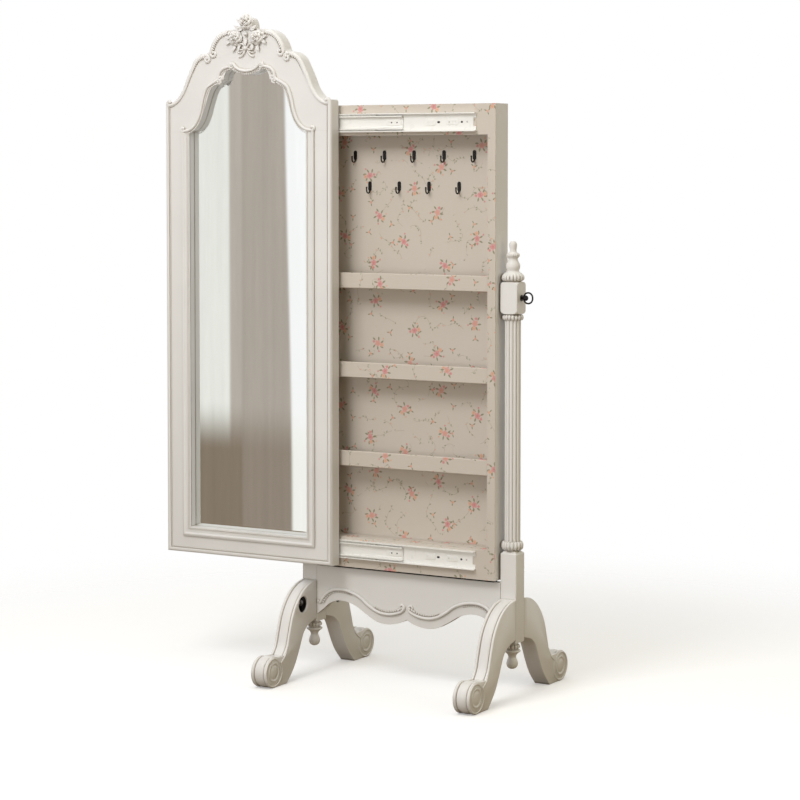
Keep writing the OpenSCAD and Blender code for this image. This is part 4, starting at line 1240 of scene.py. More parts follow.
class CHEVAL_OT_posts(Operator):
    """Turned posts with shouldered pivot blocks, lobed finials and rings of long beads"""
    bl_idname = "cheval.posts"
    bl_label = "Posts and finials"

    def execute(self, context):
        for side, _ in SIDES:
            top = box_of(f"{side}_post")[1].z
            foot = top - PIVOT_H
            axis = Vector((middle_of(f"{side}_finial").x, 0, 0))
            bm = joined_copy(f"{side}_post")
            bmesh.ops.bisect_plane(bm, geom=bm.verts[:] + bm.edges[:] + bm.faces[:], dist=1e-7,
                                   plane_co=(0, 0, foot + 0.4 * MM), plane_no=(0, 0, 1), clear_outer=True)
            bmesh.ops.holes_fill(bm, edges=[edge for edge in bm.edges if edge.is_boundary])
            pivot_block(bm, axis, foot, top, BORE_R, PIVOT_Z)
            add_piece(bm, f"{side}_post_turned", "stand", "pearl_white", (f"{side}_post",), 34,
                      recalculate=True, flat=True)
            bm = bmesh.new()
            lobed_finial(bm, axis.x, top)
            add_piece(bm, f"{side}_finial_turned", "stand", "pearl_white", (f"{side}_finial",), 40,
                      recalculate=True)
            for name, z, reach, tall in (("foot_collar", POST_TURN_Z + 12 * MM, 21.6 * MM, 21 * MM),
                                         ("pivot_collar", foot - 8 * MM, 20.8 * MM, 14 * MM)):
                bead_ring(f"{side}_{name}_beads", "stand", axis.x, z, reach, tall)
        return {"FINISHED"}


# ---- Slides ----

SLIDE_FACE = -40 * MM
OUTER_WEB = 1.4 * MM
MIDDLE_WEB = 3.6 * MM
# Distance from the member's right-hand end to a pressed pad's middle, its half length and half height, and
# where its holes lie from its middle
OUTER_PADS = ((124.0, 14.0, 7.4, (-6.5, 5.5)), (63.5, 15.5, 6.8, (-8.5, 0.5, 9.5)))
MIDDLE_PADS = ((25.0, 21.0, 6.9, (-6.5, 8.5)),)
# Distances from the end between which a slot in the outer member is closed, and where its open end lies
SLOT_PLUGS = ((85.4, 98.6, 102.6), (41.2, 56.6, 38.2))
HOLE_R = 2.0 * MM
HOLE_STEPS = 14


def pressed_pad(bm, x, y, z, half_x, half_z, holes):
    """A low pad with rounded corners and sloping sides, pierced by round holes."""
    corner, steps, proud, sunk = 3.0 * MM, 4, 0.9 * MM, -0.15 * MM

    def outline(spread, depth):
        ring = []
        for quarter, (a, b) in enumerate(((1, 1), (-1, 1), (-1, -1), (1, -1))):
            for i in range(steps + 1):
                turn = (quarter + i / steps) * math.pi / 2
                reach = corner + spread
                ring.append(bm.verts.new((x + a * (half_x - corner) + reach * math.cos(turn), y - depth,
                                          z + b * (half_z - corner) + reach * math.sin(turn))))
        return ring

    def hole(place, depth):
        return [bm.verts.new((x + place + a, y - depth, z + b)) for a, b in circle(HOLE_R, HOLE_STEPS)]

    edges = [outline(spread * MM, depth)
             for spread, depth in ((0.8, sunk), (0.8, 0.0), (0.3, 0.7 * proud), (-0.5, proud))]
    shafts = [[hole(place * MM, depth) for depth in (sunk, proud)] for place in holes]
    for rings in [edges] + shafts:
        bridge(bm, rings)
    for end in (0, -1):
        fill_between(bm, edges[end], *(shaft[end] for shaft in shafts))


def block(bm, low, high):
    made = bmesh.ops.create_cube(bm, size=1.0)
    for vert in made["verts"]:
        vert.co = Vector([(a + b) / 2 + (b - a) * c for a, b, c in zip(low, high, vert.co)])


# Painted shade: a thin black disc at the bottom of a hole stands in for the shade inside it
def hole_shade_disc(bm, x, y, z, radius):
    turned(bm, lambda a, b, h: Vector((x + a, y - h, z + b)),
           [(radius, 0.0), (radius, 0.2 * MM), (0.0, 0.2 * MM)], 20)


class CHEVAL_OT_slides(Operator):
    """Pressed pads, ridges and holes on the slides, black discs that paint the shade inside the holes, and pale
    cages for their balls
    """
    bl_idname = "cheval.slides"
    bl_label = "Slides"

    def execute(self, context):
        # Black discs that paint the shade in the open ends of the slots
        holes = bmesh.new()
        for end in ("top", "bottom"):
            for cage in (f"{end}_outer_cage", f"{end}_inner_cage"):
                give_finish(cage, "nylon")
            low, high = box_of(f"{end}_slide_outer")
            mid_z = (low.z + high.z) / 2
            bm = bmesh.new()
            for away, half_x, half_z, places in OUTER_PADS:
                pressed_pad(bm, high.x - away * MM, SLIDE_FACE - OUTER_WEB, mid_z,
                            half_x * MM, half_z * MM, places)
            for first, last, open_end in SLOT_PLUGS:
                block(bm, (high.x - last * MM, SLIDE_FACE - OUTER_WEB + 0.02 * MM, mid_z - 2.6 * MM),
                      (high.x - first * MM, SLIDE_FACE - 0.02 * MM, mid_z + 2.6 * MM))
                hole_shade_disc(holes, high.x - open_end * MM, SLIDE_FACE - 0.3 * MM, mid_z, 4.4 * MM)
            add_piece(bm, f"{end}_slide_pads", "cabinet", "slide_white", recalculate=True)
            low, high = box_of(f"{end}_slide_middle")
            face = SLIDE_FACE - MIDDLE_WEB
            bm, dots = bmesh.new(), bmesh.new()
            for away, half_x, half_z, places in MIDDLE_PADS:
                pressed_pad(bm, high.x - away * MM, face, mid_z, half_x * MM, half_z * MM, places)
                # Painted shade: black discs at the bottom of the pad's holes
                for place in places:
                    hole_shade_disc(dots, high.x - away * MM + place * MM, face + 0.1 * MM, mid_z, 1.9 * MM)
            for s in (-1, 1):
                line = [Vector((high.x - d * MM, face, mid_z + s * 11.2 * MM)) for d in (122, 60, 1)]
                rib(bm, line, half_round(4.4 * MM, 0.85 * MM, 0.3 * MM, 6), widths=[0.5, 1, 1])
            add_piece(bm, f"{end}_slide_ridges", f"{end}_slide_middle", "slide_white", recalculate=True)
            add_piece(dots, f"{end}_slide_middle_holes", f"{end}_slide_middle", "iron_black", recalculate=True)
        add_piece(holes, "slide_holes", "cabinet", "iron_black", recalculate=True)
        return {"FINISHED"}


# ---- Trims ----

class CHEVAL_OT_trims(Operator):
    """The lining over the ledge of the lower rail, and a black strip under the cabinet that paints the shade in
    the gap above the apron
    """
    bl_idname = "cheval.trims"
    bl_label = "Trims"

    def execute(self, context):
        low, high = box_of("bottom_rail")
        bm = bmesh.new()
        back = box_of("cabinet_back")[0].y
        block(bm, (low.x + 1 * MM, low.y + 0.2 * MM, high.z - 0.3 * MM),
              (high.x - 1 * MM, back - 1.4 * MM, high.z + 0.6 * MM))
        ease(bm, 0.3 * MM, 2)
        add_piece(bm, "ledge_lining", "cabinet", "lining_cloth")
        # Painted shade: a black strip fills the gap between the cabinet and the apron, where only shade falls
        low, high = box_of("cabinet_left_side", "cabinet_right_side")
        bm = bmesh.new()
        block(bm, (low.x + 5 * MM, low.y + 2.5 * MM, low.z - 4 * MM),
              (high.x - 5 * MM, low.y + 22 * MM, low.z + 0.2 * MM))
        ease(bm, 0.8 * MM, 2)
        add_piece(bm, "buffer_strip", "cabinet", "iron_black")
        return {"FINISHED"}


# ---- Door frame ----

DOOR_FRAME = ("door_left_stile", "door_right_stile", "door_bottom_rail", "door_crest")
ROSE_GAP = 52 * MM  # Half the width that the roses take out of the rib over the arch
SHOULDER_Z = 1433 * MM


def door_lines():
    """Lowest and highest corner of the door's frame, and the depth of its front face."""
    low, high = box_of(*DOOR_FRAME)
    return low, high, low.y


class CHEVAL_OT_door_frame(Operator):
    """Stiles, rail and crest with eased joints and a rounded outer edge"""
    bl_idname = "cheval.door_frame"
    bl_label = "Door frame"

    def execute(self, context):
        low, high, front = door_lines()
        round_over = settings().carving.round_over
        for node in DOOR_FRAME:
            bm = joined_copy(node)

            def outer(edge):
                ends = [vert.co for vert in edge.verts]
                return all(p.y < front + NEAR for p in ends) and (
                    all(abs(p.x - low.x) < 0.1 * MM for p in ends)
                    or all(abs(p.x - high.x) < 0.1 * MM for p in ends)
                    or all(abs(p.z - low.z) < 0.1 * MM for p in ends))

            ease(bm, round_over * 0.9, 5, outer)
            ease(bm, 0.35 * MM, 2, angle=50)
            add_piece(bm, f"{node}_finish", "door", "pearl_white", (node,), 34, flat=True)
        return {"FINISHED"}


# Section of the rounded rib on the door's edge: distance in from the edge, distance proud of the front
EDGE_SECTION = ((10.5, -1.2), (10.5, 0.0), (10.4, 1.5), (9.8, 2.6), (8.3, 3.3), (6.2, 3.5), (4.0, 3.2),
                (2.4, 2.2), (1.1, 0.5), (0.3, -1.8), (0.0, -4.6), (0.02, -8.5), (0.5, -9.3), (2.0, -9.3))


def half_of(line, keep):
    """The points of a loop for which keep is true, in order, as one run."""
    flags = [keep(p) for p in line]
    start = next(i for i in range(len(line)) if flags[i] and not flags[i - 1])
    run = []
    for k in range(len(line)):
        i = (start + k) % len(line)
        if not flags[i]:
            break
        run.append(line[i])
    return run


def notches(line):
    """Places in a line that turn sharply to the right, as indices."""
    found = []
    for i in range(1, len(line) - 1):
        into, away = line[i] - line[i - 1], line[i + 1] - line[i]
        if into.x * away.y - into.y * away.x < -0.25 * into.length * away.length:
            found.append(i)
    return found


def mirrored(line, x):
    return [Vector((2 * x - p.x, p.y)) for p in line]


def three_sides(low, high, top, inside=0.0):
    """A line down the left side, along the foot and up the right side of a box, some way inside it."""
    left, right, foot = low.x + inside, high.x - inside, low.z + inside
    return [Vector(p) for p in ((left, top), (left, foot), (right, foot), (right, top))]


def scroll_pairs(bm, s, mid, front, width, height, specs):
    """Scrolls on the right half (1), or their mirror images on the left (-1): line, start curl and end curl."""
    for line, *curls in specs:
        start, end = (curl and (curl[0] * s, *curl[1:]) for curl in curls)
        scroll(bm, line if s > 0 else mirrored(line, mid), front, width, height, start, end)


class CHEVAL_OT_door_edge(Operator):
    """The rounded rib over the door's outer edge, its scrolls along the arch and the pearls inside it"""
    bl_idname = "cheval.door_edge"
    bl_label = "Door edge"

    def execute(self, context):
        low, high, front = door_lines()
        mid = (low.x + high.x) / 2
        arch = outlines("door_crest", front)[0]
        right = half_of(arch, lambda p: p.x > mid + ROSE_GAP and p.y > SHOULDER_Z - 5 * MM)
        bend = [i for i in notches(right) if right[i].x < mid + 0.7 * (high.x - mid)]
        first, last = bend[0], bend[-1]
        foot = next(i for i, p in enumerate(right) if p.x < high.x - 11 * MM)
        lower, upper = right[foot:first + 1], right[last:]
        section = [(u * MM, v * MM) for u, v in EDGE_SECTION]
        bm = bmesh.new()
        moulding(bm, three_sides(low, high, SHOULDER_Z), section, front)
        ridges, swells = [], []
        for s in (-1, 1):
            for line, fade in ((lower[::-1], 0.62), (upper, 1.5)):
                run = line if s > 0 else mirrored(line, mid)
                ahead = run if (s > 0) == (line is upper) else run[::-1]
                moulding(bm, ahead, section, front)
                side = inset(ahead, 9.0 * MM, False)
                side = side if ahead is run else side[::-1]
                far = [0.0]
                for a, b in zip(side, side[1:]):
                    far.append(far[-1] + (b - a).length / MM)
                shares = [1 - max(0.0, x - 12) / (far[-1] * fade) for x in far]
                kept = [i for i, x in enumerate(far) if x > 9 and shares[i] > 0.16 and x < far[-1] - 4]
                ridges.append([side[i] for i in kept])
                swells.append([shares[i] ** 0.6 for i in kept])
            centre_low, centre_up = inset(lower, 5.5 * MM, False), inset(upper, 5.5 * MM, False)
            scroll_pairs(bm, s, mid, front, 9.0 * MM, 4.4 * MM, (
                (centre_low[-4:], None, (1, 9.5 * MM, 3.0 * MM, 395)),
                (centre_up[:4], (1, 10.0 * MM, 3.2 * MM, 300), None),
                (centre_low[:4], (-1, 6.5 * MM, 2.6 * MM, 250), None)))
        add_piece(bm, "door_edge_rib", "door", "pearl_white", ("outer_moulding",), 50, recalculate=True)
        row = three_sides(low, high, SHOULDER_Z - 6 * MM, 13.2 * MM)
        pearls("door_edge_pearls", [on_plane(row, front - 0.5 * MM)], "door")
        pearls("door_edge_gadroons", [on_plane(row, front - 1.2 * MM) for row in ridges], "door", radius=1 * MM,
               pitch=5.4 * MM, shape=(2.6, 3.9, 5.8), swells=swells)
        return {"FINISHED"}


# Section of the moulding round the mirror: distance in from its outer edge, distance proud of the door's front
SIGHT_SECTION = ((0.0, -1.0), (0.0, 1.0), (0.5, 2.9), (1.9, 4.7), (4.2, 5.6), (6.5, 4.9), (8.0, 3.3),
                 (8.8, 2.2), (10.4, 1.7), (13.2, 1.9), (15.6, 2.6), (16.6, 3.1), (17.0, 2.4),
                 (22.8, 2.4), (23.6, 2.2), (24.0, 1.4), (24.0, -2.0), (12.0, -2.0))


class CHEVAL_OT_sight_moulding(Operator):
    """The carved moulding round the mirror: straight sides, scrolls over the arch and a row of pearls"""
    bl_idname = "cheval.sight_moulding"
    bl_label = "Moulding round the mirror"

    def execute(self, context):
        low, high = box_of("inner_moulding")
        front = door_lines()[2]
        mid = (low.x + high.x) / 2
        outer = outlines("inner_moulding", low.y)[0]
        right = half_of(outer, lambda p: p.x > mid + 0.1 * MM and p.y > low.z + 1 * MM)
        spring = right[0].y
        s_end = notches(right)[0]
        s_line = right[:s_end + 1]
        lobe = [p for p in right[s_end:] if p.x > mid + 50 * MM][1:]
        dip = [p for p in right if p.x < mid + 36 * MM]
        dip = dip + [Vector((mid, dip[-1].y - 0.3 * MM))] + mirrored(dip, mid)[::-1]
        dressed("inner_moulding", 0.5 * MM, 2)
        bm = bmesh.new()
        section = [(u * MM, v * MM) for u, v in SIGHT_SECTION]
        moulding(bm, three_sides(low, high, spring - 1 * MM), section, front)
        wide, tall = 8.6 * MM, 5.8 * MM
        for s in (-1, 1):
            scroll_pairs(bm, s, mid, front, wide, tall, (
                (inset(s_line, 4.0 * MM, False)[1:],
                 (-1, 6.0 * MM, 2.4 * MM, 240), (1, 7.5 * MM, 2.6 * MM, 330)),
                (inset(lobe, 4.0 * MM, False), (1, 7.0 * MM, 2.6 * MM, 330), None)))
        hang = inset(dip, 4.4 * MM, False)
        curl = (1, 7.2 * MM, 2.6 * MM, 400)
        scroll(bm, hang, front, wide, tall + 0.6 * MM, curl, curl)
        add_piece(bm, "sight_moulding", "door", "pearl_white", recalculate=True, smooth=50)
        rows = [three_sides(low, high, spring - 4 * MM, 19.9 * MM)]
        for s in (-1, 1):
            for line in (inset(s_line, 11.4 * MM, False)[3:-2], inset(lobe, 10.6 * MM, False)[1:-1]):
                rows.append(line if s > 0 else mirrored(line, mid))
        rows.append(inset(dip, 11.0 * MM, False)[3:-3])
        pearls("sight_pearls", [on_plane(row, front - 2.9 * MM) for row in rows], "door",
               radius=settings().carving.pearl * 0.95)
        return {"FINISHED"}


# ---- Roses and bow ----

def petal(bm, place, angle, spread, base, rim, low, high, lip, thick, wave=0.0):
    """One petal that rises from a base radius and height to a rim and rolls over at its lip."""
    grid = []
    rows, columns = 8, 9
    for i in range(rows):
        t = i / (rows - 1)
        row = []
        for j in range(columns):
            k = 2 * j / (columns - 1) - 1
            turn = angle + k * spread * (0.5 + 0.5 * t ** 0.6)
            reach = base + (rim - base) * (t ** 1.15) * (1 - 0.34 * abs(k) ** 2.6)
            rise = low + (high - low) * math.sin(min(1.0, t * 1.12) * math.pi / 2) * (1 - 0.42 * k * k)
            rise -= lip * max(0.0, (t - 0.62) / 0.38) ** 2 - wave * math.cos(3 * k * math.pi) * t
            row.append(place(reach * math.cos(turn), reach * math.sin(turn), rise))
        grid.append(row)
    shell(bm, grid, -thick)


ROSE_RINGS = (  # petals, spread, base, rim, low, high, lip as shares of the radius, turn
    (5, 0.74, 0.36, 1.02, 0.06, 0.44, 0.26, 0.0),
    (5, 0.70, 0.30, 0.82, 0.16, 0.66, 0.22, 0.63),
    (4, 0.84, 0.20, 0.60, 0.26, 0.82, 0.16, 0.2),
    (3, 1.12, 0.12, 0.38, 0.34, 0.92, 0.10, 0.9),
    (2, 1.55, 0.05, 0.20, 0.40, 0.98, 0.04, 0.3))


def rose(bm, centre, radius, turn, tilt=(0.0, 0.0)):
    """A carved rose: rings of rolled petals that close round a bud."""
    def place(a, b, c):
        return centre + Vector((a + tilt[0] * c, -c, b + tilt[1] * c))

    for petals, spread, base, rim, low, high, lip, shift in ROSE_RINGS:
        for i in range(petals):
            angle = turn + shift + math.tau * i / petals
            petal(bm, place, angle, spread,
                  *(share * radius for share in (base, rim, low, high, lip, 0.055, 0.012)))
    # The bud, and the cushion behind the petals
    for segments, wide, rise in ((16, 0.13, 0.62), (24, 0.62, 0.10)):
        made = bmesh.ops.create_uvsphere(bm, u_segments=segments, v_segments=10, radius=1.0)
        for vert in made["verts"]:
            co = vert.co
            vert.co = place(wide * radius * co.x, wide * radius * co.y, rise * radius + 0.30 * radius * co.z)


def leaf(bm, root, angle, length, width, front, lift, bend=0.0):
    """A pointed leaf with a sunk midrib that lies against the crest and lifts at its tip."""
    c, d = math.cos(angle), math.sin(angle)
    grid = []
    rows, columns = 11, 7
    for i in range(rows):
        t = i / (rows - 1)
        half = (width * 0.5 * (math.sin(math.pi * min(1.0, t ** 0.8)) * 0.94 + 0.04)
                * (1 + 0.08 * math.sin(t * 26)))
        row = []
        for j in range(columns):
            k = 2 * j / (columns - 1) - 1
            along, across = length * t, half * k + bend * length * math.sin(math.pi * t)
            rise = (lift * (0.4 + 0.9 * math.sin(math.pi * 0.62 * t))
                    + 1.3 * MM * abs(k) ** 1.4 * (1 - t) - 0.3 * MM)
            row.append(Vector((root[0] + along * c - across * d, front - rise,
                               root[1] + along * d + across * c)))
        grid.append(row)
    shell(bm, grid, -1.3 * MM)


class CHEVAL_OT_roses(Operator):
    """Three carved roses with leaves and buds at the top of the crest"""
    bl_idname = "cheval.roses"
    bl_label = "Roses"

    def execute(self, context):
        low, high = box_of("crest_roses")
        front = door_lines()[2]
        mid = (low.x + high.x) / 2
        radius = 20 * MM
        top = Vector((mid, front, high.z - radius - 1.5 * MM))
        sides = [Vector((mid + s * (high.x - mid - radius), front, low.z + radius)) for s in (-1, 1)]
        bm = bmesh.new()
        rose(bm, top, radius * 0.985, 0.35, (0.0, 0.10))
        rose(bm, sides[0], radius * 0.96, 1.1, (-0.10, -0.04))
        rose(bm, sides[1], radius * 0.96, 2.3, (0.10, -0.04))
        add_piece(bm, "crest_roses_carved", "door", "pearl_white", ("crest_roses",), 60, recalculate=True)
        bm = bmesh.new()
        for x, z, angle, length, width, bend in (
                (-9, 178, 158, 27, 12, 0.10), (9, 178, 22, 27, 12, -0.10),
                (-44, 160, 172, 18, 10, 0.10), (44, 160, 8, 19, 10, -0.12),
                (-46, 150, 212, 17, 9, -0.10), (46, 150, -32, 17, 9, 0.10),
                (-33, 143, 246, 21, 10, 0.12), (33, 143, -66, 21, 10, -0.12),
                (-17, 145, 262, 20, 9, -0.06), (17, 145, -82, 20, 9, 0.06),
                (-14, 196, 150, 14, 8, 0.08), (14, 196, 30, 14, 8, -0.08),
                (0, 158, -90, 22, 9, 0.0)):
            leaf(bm, (mid + x * MM, SHOULDER_Z + z * MM), math.radians(angle), length * MM, width * MM, front,
                 4.2 * MM, bend)
        for x, z, r in ((-50, 168, 4.6), (51, 166, 4.6), (0, 166, 5.0), (-22, 181, 3.8), (23, 181, 3.8)):
            spot = Vector((mid + x * MM, front - 3.5 * MM, SHOULDER_Z + z * MM))
            ball(bm, spot, r * MM, 1.3)
        add_piece(bm, "crest_leaves", "door", "pearl_white", smooth=60, recalculate=True)
        return {"FINISHED"}


class CHEVAL_OT_bow(Operator):
    """A ribbon bow under the roses: two loops, two crossing tails and a knot"""
    bl_idname = "cheval.bow"
    bl_label = "Bow"

    def execute(self, context):
        low, high = box_of("crest_bow")
        front = door_lines()[2]
        mid = (low.x + high.x) / 2
        knot = Vector((mid, SHOULDER_Z + 131 * MM))
        bm = bmesh.new()
        for s in (-1, 1):
            loop = [(2, 0), (7, 8), (14, 11.5), (20.5, 9), (22.5, 2.5), (18, -2.5), (10, -3.5)]
            ring = smooth_line([knot + MM * Vector((s * x, z)) for x, z in loop + loop[:1]], 5)[:-1]
            rib(bm, on_plane(ring, front), half_round(5.2 * MM, 6.4 * MM), closed=True)
            for line, size in (([(-2, 2), (4, -6), (8, -13), (15, -19), (23, -21)], 6.6),
                               ([(3, -1), (9, -7), (18, -11), (26, -9)], 4.6)):
                tail = smooth_line([knot + MM * Vector((s * x, z)) for x, z in line], 6)
                total = len(tail)
                widths = [0.6 + 0.5 * math.sin(math.pi * min(1, (i + 3) / total) * 0.8) for i in range(total)]
                rib(bm, on_plane(tail, front), half_round(size * MM, 4.4 * MM), widths=widths)
        ball(bm, Vector((knot.x, front - 4.5 * MM, knot.y)), 5.6 * MM, 0.9)
        for s in (-1, 1):
            ball(bm, Vector((knot.x + s * 2.4 * MM, front - 5.0 * MM, knot.y)), 4.2 * MM)
        add_piece(bm, "crest_bow_carved", "door", "pearl_white", ("crest_bow",), 60, recalculate=True)
        return {"FINISHED"}


class CHEVAL_OT_mirror(Operator):
    """Mirror glass with a wide ground bevel"""
    bl_idname = "cheval.mirror"
    bl_label = "Mirror glass"

    def execute(self, context):
        low, high = box_of("mirror_glass")
        loop = outlines("mirror_glass", low.y)[0]
        bm = bmesh.new()
        rings = [[bm.verts.new((p.x, low.y + depth, p.y)) for p in inset(loop, distance)]
                 for distance, depth in ((0.0, high.y - low.y), (0.0, 0.6 * MM),
                                         (10 * MM, 0.6 * MM), (19 * MM, 0.0))]
        bridge(bm, rings)
        bm.faces.new(rings[-1])
        bm.faces.new(rings[0][::-1])
        add_piece(bm, "mirror_bevelled", "door", "mirror_silver", ("mirror_glass",), 1, recalculate=True)
        return {"FINISHED"}


# ---- Stage ----

# Name, place, what it points at, size and colour of each lamp
LAMPS = (("key", (-0.3, -2.2, 3.0), (0.0, 0, 0.9), 1.2, (1.0, 0.997, 0.995)),
         ("front", (0.3, -3.0, 0.7), (0.1, 0, 0.5), 1.2, (1.0, 0.997, 0.995)),
         ("fill", (3.4, 0.4, 1.5), (0.2, 0, 0.8), 1.6, (1.0, 0.87, 0.60)),
         ("top", (0.3, -0.6, 3.6), (0, 0, 0.8), 1.6, (1.0, 0.98, 0.92)))
CAMERA_PLACE = (2.9538, -5.0514, 1.2660)
CAMERA_LEAN, CAMERA_TURN = 87, 30.58  # Degrees up from straight down, and round to the left
CAMERA_SHIFT = -0.1324
SENSOR = 36
FLOOR_SIZE = 40


class CHEVAL_OT_stage(Operator):
    """Floor, drapes behind the viewer, lamps and camera"""
    bl_idname = "cheval.stage"
    bl_label = "Stage"

    def execute(self, context):
        stage = settings().stage
        scene = bpy.context.scene
        bpy.ops.mesh.primitive_plane_add(size=FLOOR_SIZE, location=(0, 0, 0))
        floor = bpy.context.object
        floor.name = "floor"
        floor.data.materials.append(floor_paper())
        make_drapes()

        scene.world = studio_light(stage)
        for name, place, aim, size, colour in LAMPS:
            data = bpy.data.lights.new(name, "AREA")
            data.size, data.energy, data.color = size, getattr(stage, name), colour
            lamp = placed(name, data)
            lamp.location = place
            lamp.rotation_euler = (Vector(aim) - Vector(place)).to_track_quat("-Z", "Y").to_euler()
            lamp.visible_glossy = False

        data = bpy.data.cameras.new("camera")
        data.lens, data.sensor_width, data.shift_y = stage.lens, SENSOR, CAMERA_SHIFT
        scene.camera = placed("camera", data)
        scene.camera.location = CAMERA_PLACE
        scene.camera.rotation_euler = (math.radians(CAMERA_LEAN), 0, math.radians(CAMERA_TURN))
        scene.view_settings.view_transform = "Standard"
        return {"FINISHED"}


def studio_light(stage):
    """A white surround for what is seen or mirrored, and soft light, cooler on the left, for the rest."""
    world = bpy.data.worlds.new("studio")
    world.use_nodes = True
    world.node_tree.nodes.clear()
    w = Wiring(world.node_tree)
    path = w.new("ShaderNodeLightPath").outputs
    where = w.parted(w.new("ShaderNodeTexCoord").outputs["Generated"])
    room = w.blend(w.ramp(where["X"], -0.5, 0.7, False), tuple(stage.left_light), tuple(stage.right_light))
    soft = w.new("ShaderNodeBackground", {"Color": room,
                                          "Strength": w.ramp(where["Z"], -0.1, 0.9, False, (0.55, 1.5))})
    plain = w.new("ShaderNodeBackground", {"Color": (1.0, 1.0, 1.0)})
    seen = 0.0
    for ray in ("Is Camera Ray", "Is Glossy Ray", "Is Transmission Ray"):
        seen = w.maths("MAXIMUM", path[ray], seen)
    w.new("ShaderNodeOutputWorld", {"Surface": w.shown_if(seen, soft.outputs[0], plain.outputs[0])})
    return world


def floor_paper():
    """Pale studio paper that keeps the shadow under the piece and throws a little warm light back up."""
    s = Shader("floor_paper")
    path = s.new("ShaderNodeLightPath").outputs
    seen = path["Is Camera Ray"]
    cloud = s.fitted(s.noise(0.6, 2), 0.02, 0.99)
    paper = s.blend(seen, (0.24, 0.185, 0.12), (0.80, 0.80, 0.80))
    s.set(Base_Color=s.blend(1.0, paper, cloud, "MULTIPLY"), Roughness=0.9,
          Emission_Color=(1.0, 1.0, 1.0), Emission_Strength=s.times(seen, 0.26))
    reach = s.new("ShaderNodeVectorMath", {0: s.place((1, 1, 0))}, operation="LENGTH").outputs["Value"]
    clear = s.times(s.ramp(reach, 0.75, 2.2), s.maths("MAXIMUM", seen, path["Is Glossy Ray"]))
    return s.show(s.shown_if(clear, s.body.outputs[0], s.new("ShaderNodeBsdfTransparent").outputs[0]))


# The plain room that the mirror looks at, painted as light on a glowing panel, from left to right: the share of
# the width where each part begins, its colour high up and its colour low down, mostly darker with painted shade
ROOM = ((0.00, (0.85, 0.85, 0.80), (0.25, 0.20, 0.15)),  # Pale curtain
        (0.30, (0.50, 0.45, 0.40), (0.25, 0.20, 0.15)),  # Curtain in shade
        (0.40, (0.45, 0.40, 0.35), (0.30, 0.25, 0.20)),  # Wall
        (0.75, (1.00, 1.00, 1.00), (0.95, 0.95, 0.90)))  # Window
ROOM_STEP = 0.03
ROOM_LEFT, ROOM_RIGHT, ROOM_Y = -2.345, -1.80, -2.5
ROOM_FLOOR, ROOM_TOP = -0.6, 2.6
ROOM_PAST = 1.1  # How far the first part goes on to the left


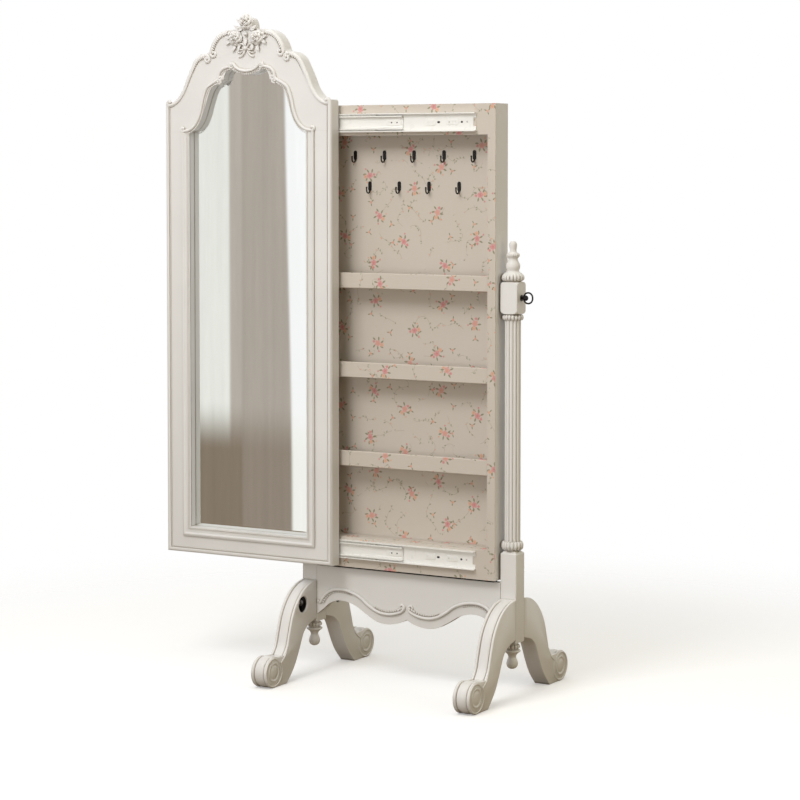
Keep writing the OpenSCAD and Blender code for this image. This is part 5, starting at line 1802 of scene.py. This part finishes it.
def make_drapes():
    """Curtains of a room that only the mirror looks at: a panel that glows with painted light, with painted
    shade in its folds and low down.
    """
    mesh = bpy.data.meshes.new("drapes")
    mesh.from_pydata([(ROOM_LEFT - ROOM_PAST, ROOM_Y, ROOM_FLOOR), (ROOM_RIGHT, ROOM_Y, ROOM_FLOOR),
                      (ROOM_RIGHT, ROOM_Y, ROOM_TOP), (ROOM_LEFT - ROOM_PAST, ROOM_Y, ROOM_TOP)],
                     [], [(0, 1, 2, 3)])
    s = Shader("drape_cloth")
    where = s.parted(s.place())
    height = where["Z"]
    lean = s.times(s.ramp(height, 1.9, 0.0), 0.06)
    across = s.maths("DIVIDE", s.minus(where["X"], ROOM_LEFT), ROOM_RIGHT - ROOM_LEFT)
    leaning = s.minus(across, s.times(lean, s.ramp(across, 0.5, 0.75)))
    sides = []
    for level in (1, 2):
        colour = ROOM[0][level]
        for part in ROOM[1:]:
            colour = s.blend(s.ramp(leaning, part[0], part[0] + ROOM_STEP), colour, part[level])
        sides.append(colour)
    room = s.blend(s.ramp(height, 0.40, 0.20), *sides)
    # Painted shade: noise folds and threads darken the glowing curtains, all but the window
    folds = s.fitted(s.noise(30, 3, stretch=(1, 1, 0.03)), 0.26, 0.87)
    threads = s.fitted(s.noise(170, 2, stretch=(1, 1, 0.06)), 0.14, 0.93)
    shade = s.maths("MAXIMUM", s.times(folds, threads), s.ramp(leaning, ROOM[-1][0], ROOM[-1][0] + ROOM_STEP))
    glow = s.new("ShaderNodeEmission", {"Color": s.blend(1.0, room, shade, "MULTIPLY")})
    mesh.materials.append(s.show(s.shown_if(s.new("ShaderNodeLightPath").outputs["Is Glossy Ray"],
                                            s.new("ShaderNodeBsdfTransparent").outputs[0], glow.outputs[0])))
    return placed("drapes", mesh)


# ---- Add-on ----

PIECES = (CHEVAL_OT_finish_frame, CHEVAL_OT_boards, CHEVAL_OT_legs, CHEVAL_OT_apron_carving,
          CHEVAL_OT_drop_finials, CHEVAL_OT_posts, CHEVAL_OT_slides, CHEVAL_OT_trims, CHEVAL_OT_door_frame,
          CHEVAL_OT_door_edge, CHEVAL_OT_sight_moulding, CHEVAL_OT_roses, CHEVAL_OT_bow, CHEVAL_OT_mirror,
          CHEVAL_OT_stage)


class CHEVAL_PT_sidebar(Panel):
    """All the pieces and their settings"""
    bl_label = "Cheval mirror"
    bl_idname = "CHEVAL_PT_sidebar"
    bl_space_type = "VIEW_3D"
    bl_region_type = "UI"
    bl_category = "Cheval"

    def draw(self, context):
        for group in ("finish", "carving", "stage"):
            box = self.layout.box()
            owner = getattr(context.scene.cheval, group)
            for name in owner.bl_rna.properties.keys():
                if name not in ("rna_type", "name"):
                    box.prop(owner, name)
        for piece in PIECES:
            self.layout.operator(piece.bl_idname)


CLASSES = (FinishSettings, CarvingSettings, StageSettings, ChevalSettings) + PIECES + (CHEVAL_PT_sidebar,)


def register():
    for item in CLASSES:
        bpy.utils.register_class(item)
    bpy.types.Scene.cheval = PointerProperty(type=ChevalSettings)


def unregister():
    del bpy.types.Scene.cheval
    for item in reversed(CLASSES):
        bpy.utils.unregister_class(item)


def main():
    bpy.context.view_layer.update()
    register()
    for piece in PIECES:
        group, name = piece.bl_idname.split(".")
        getattr(getattr(bpy.ops, group), name)()


if __name__ == "__main__":
    main()
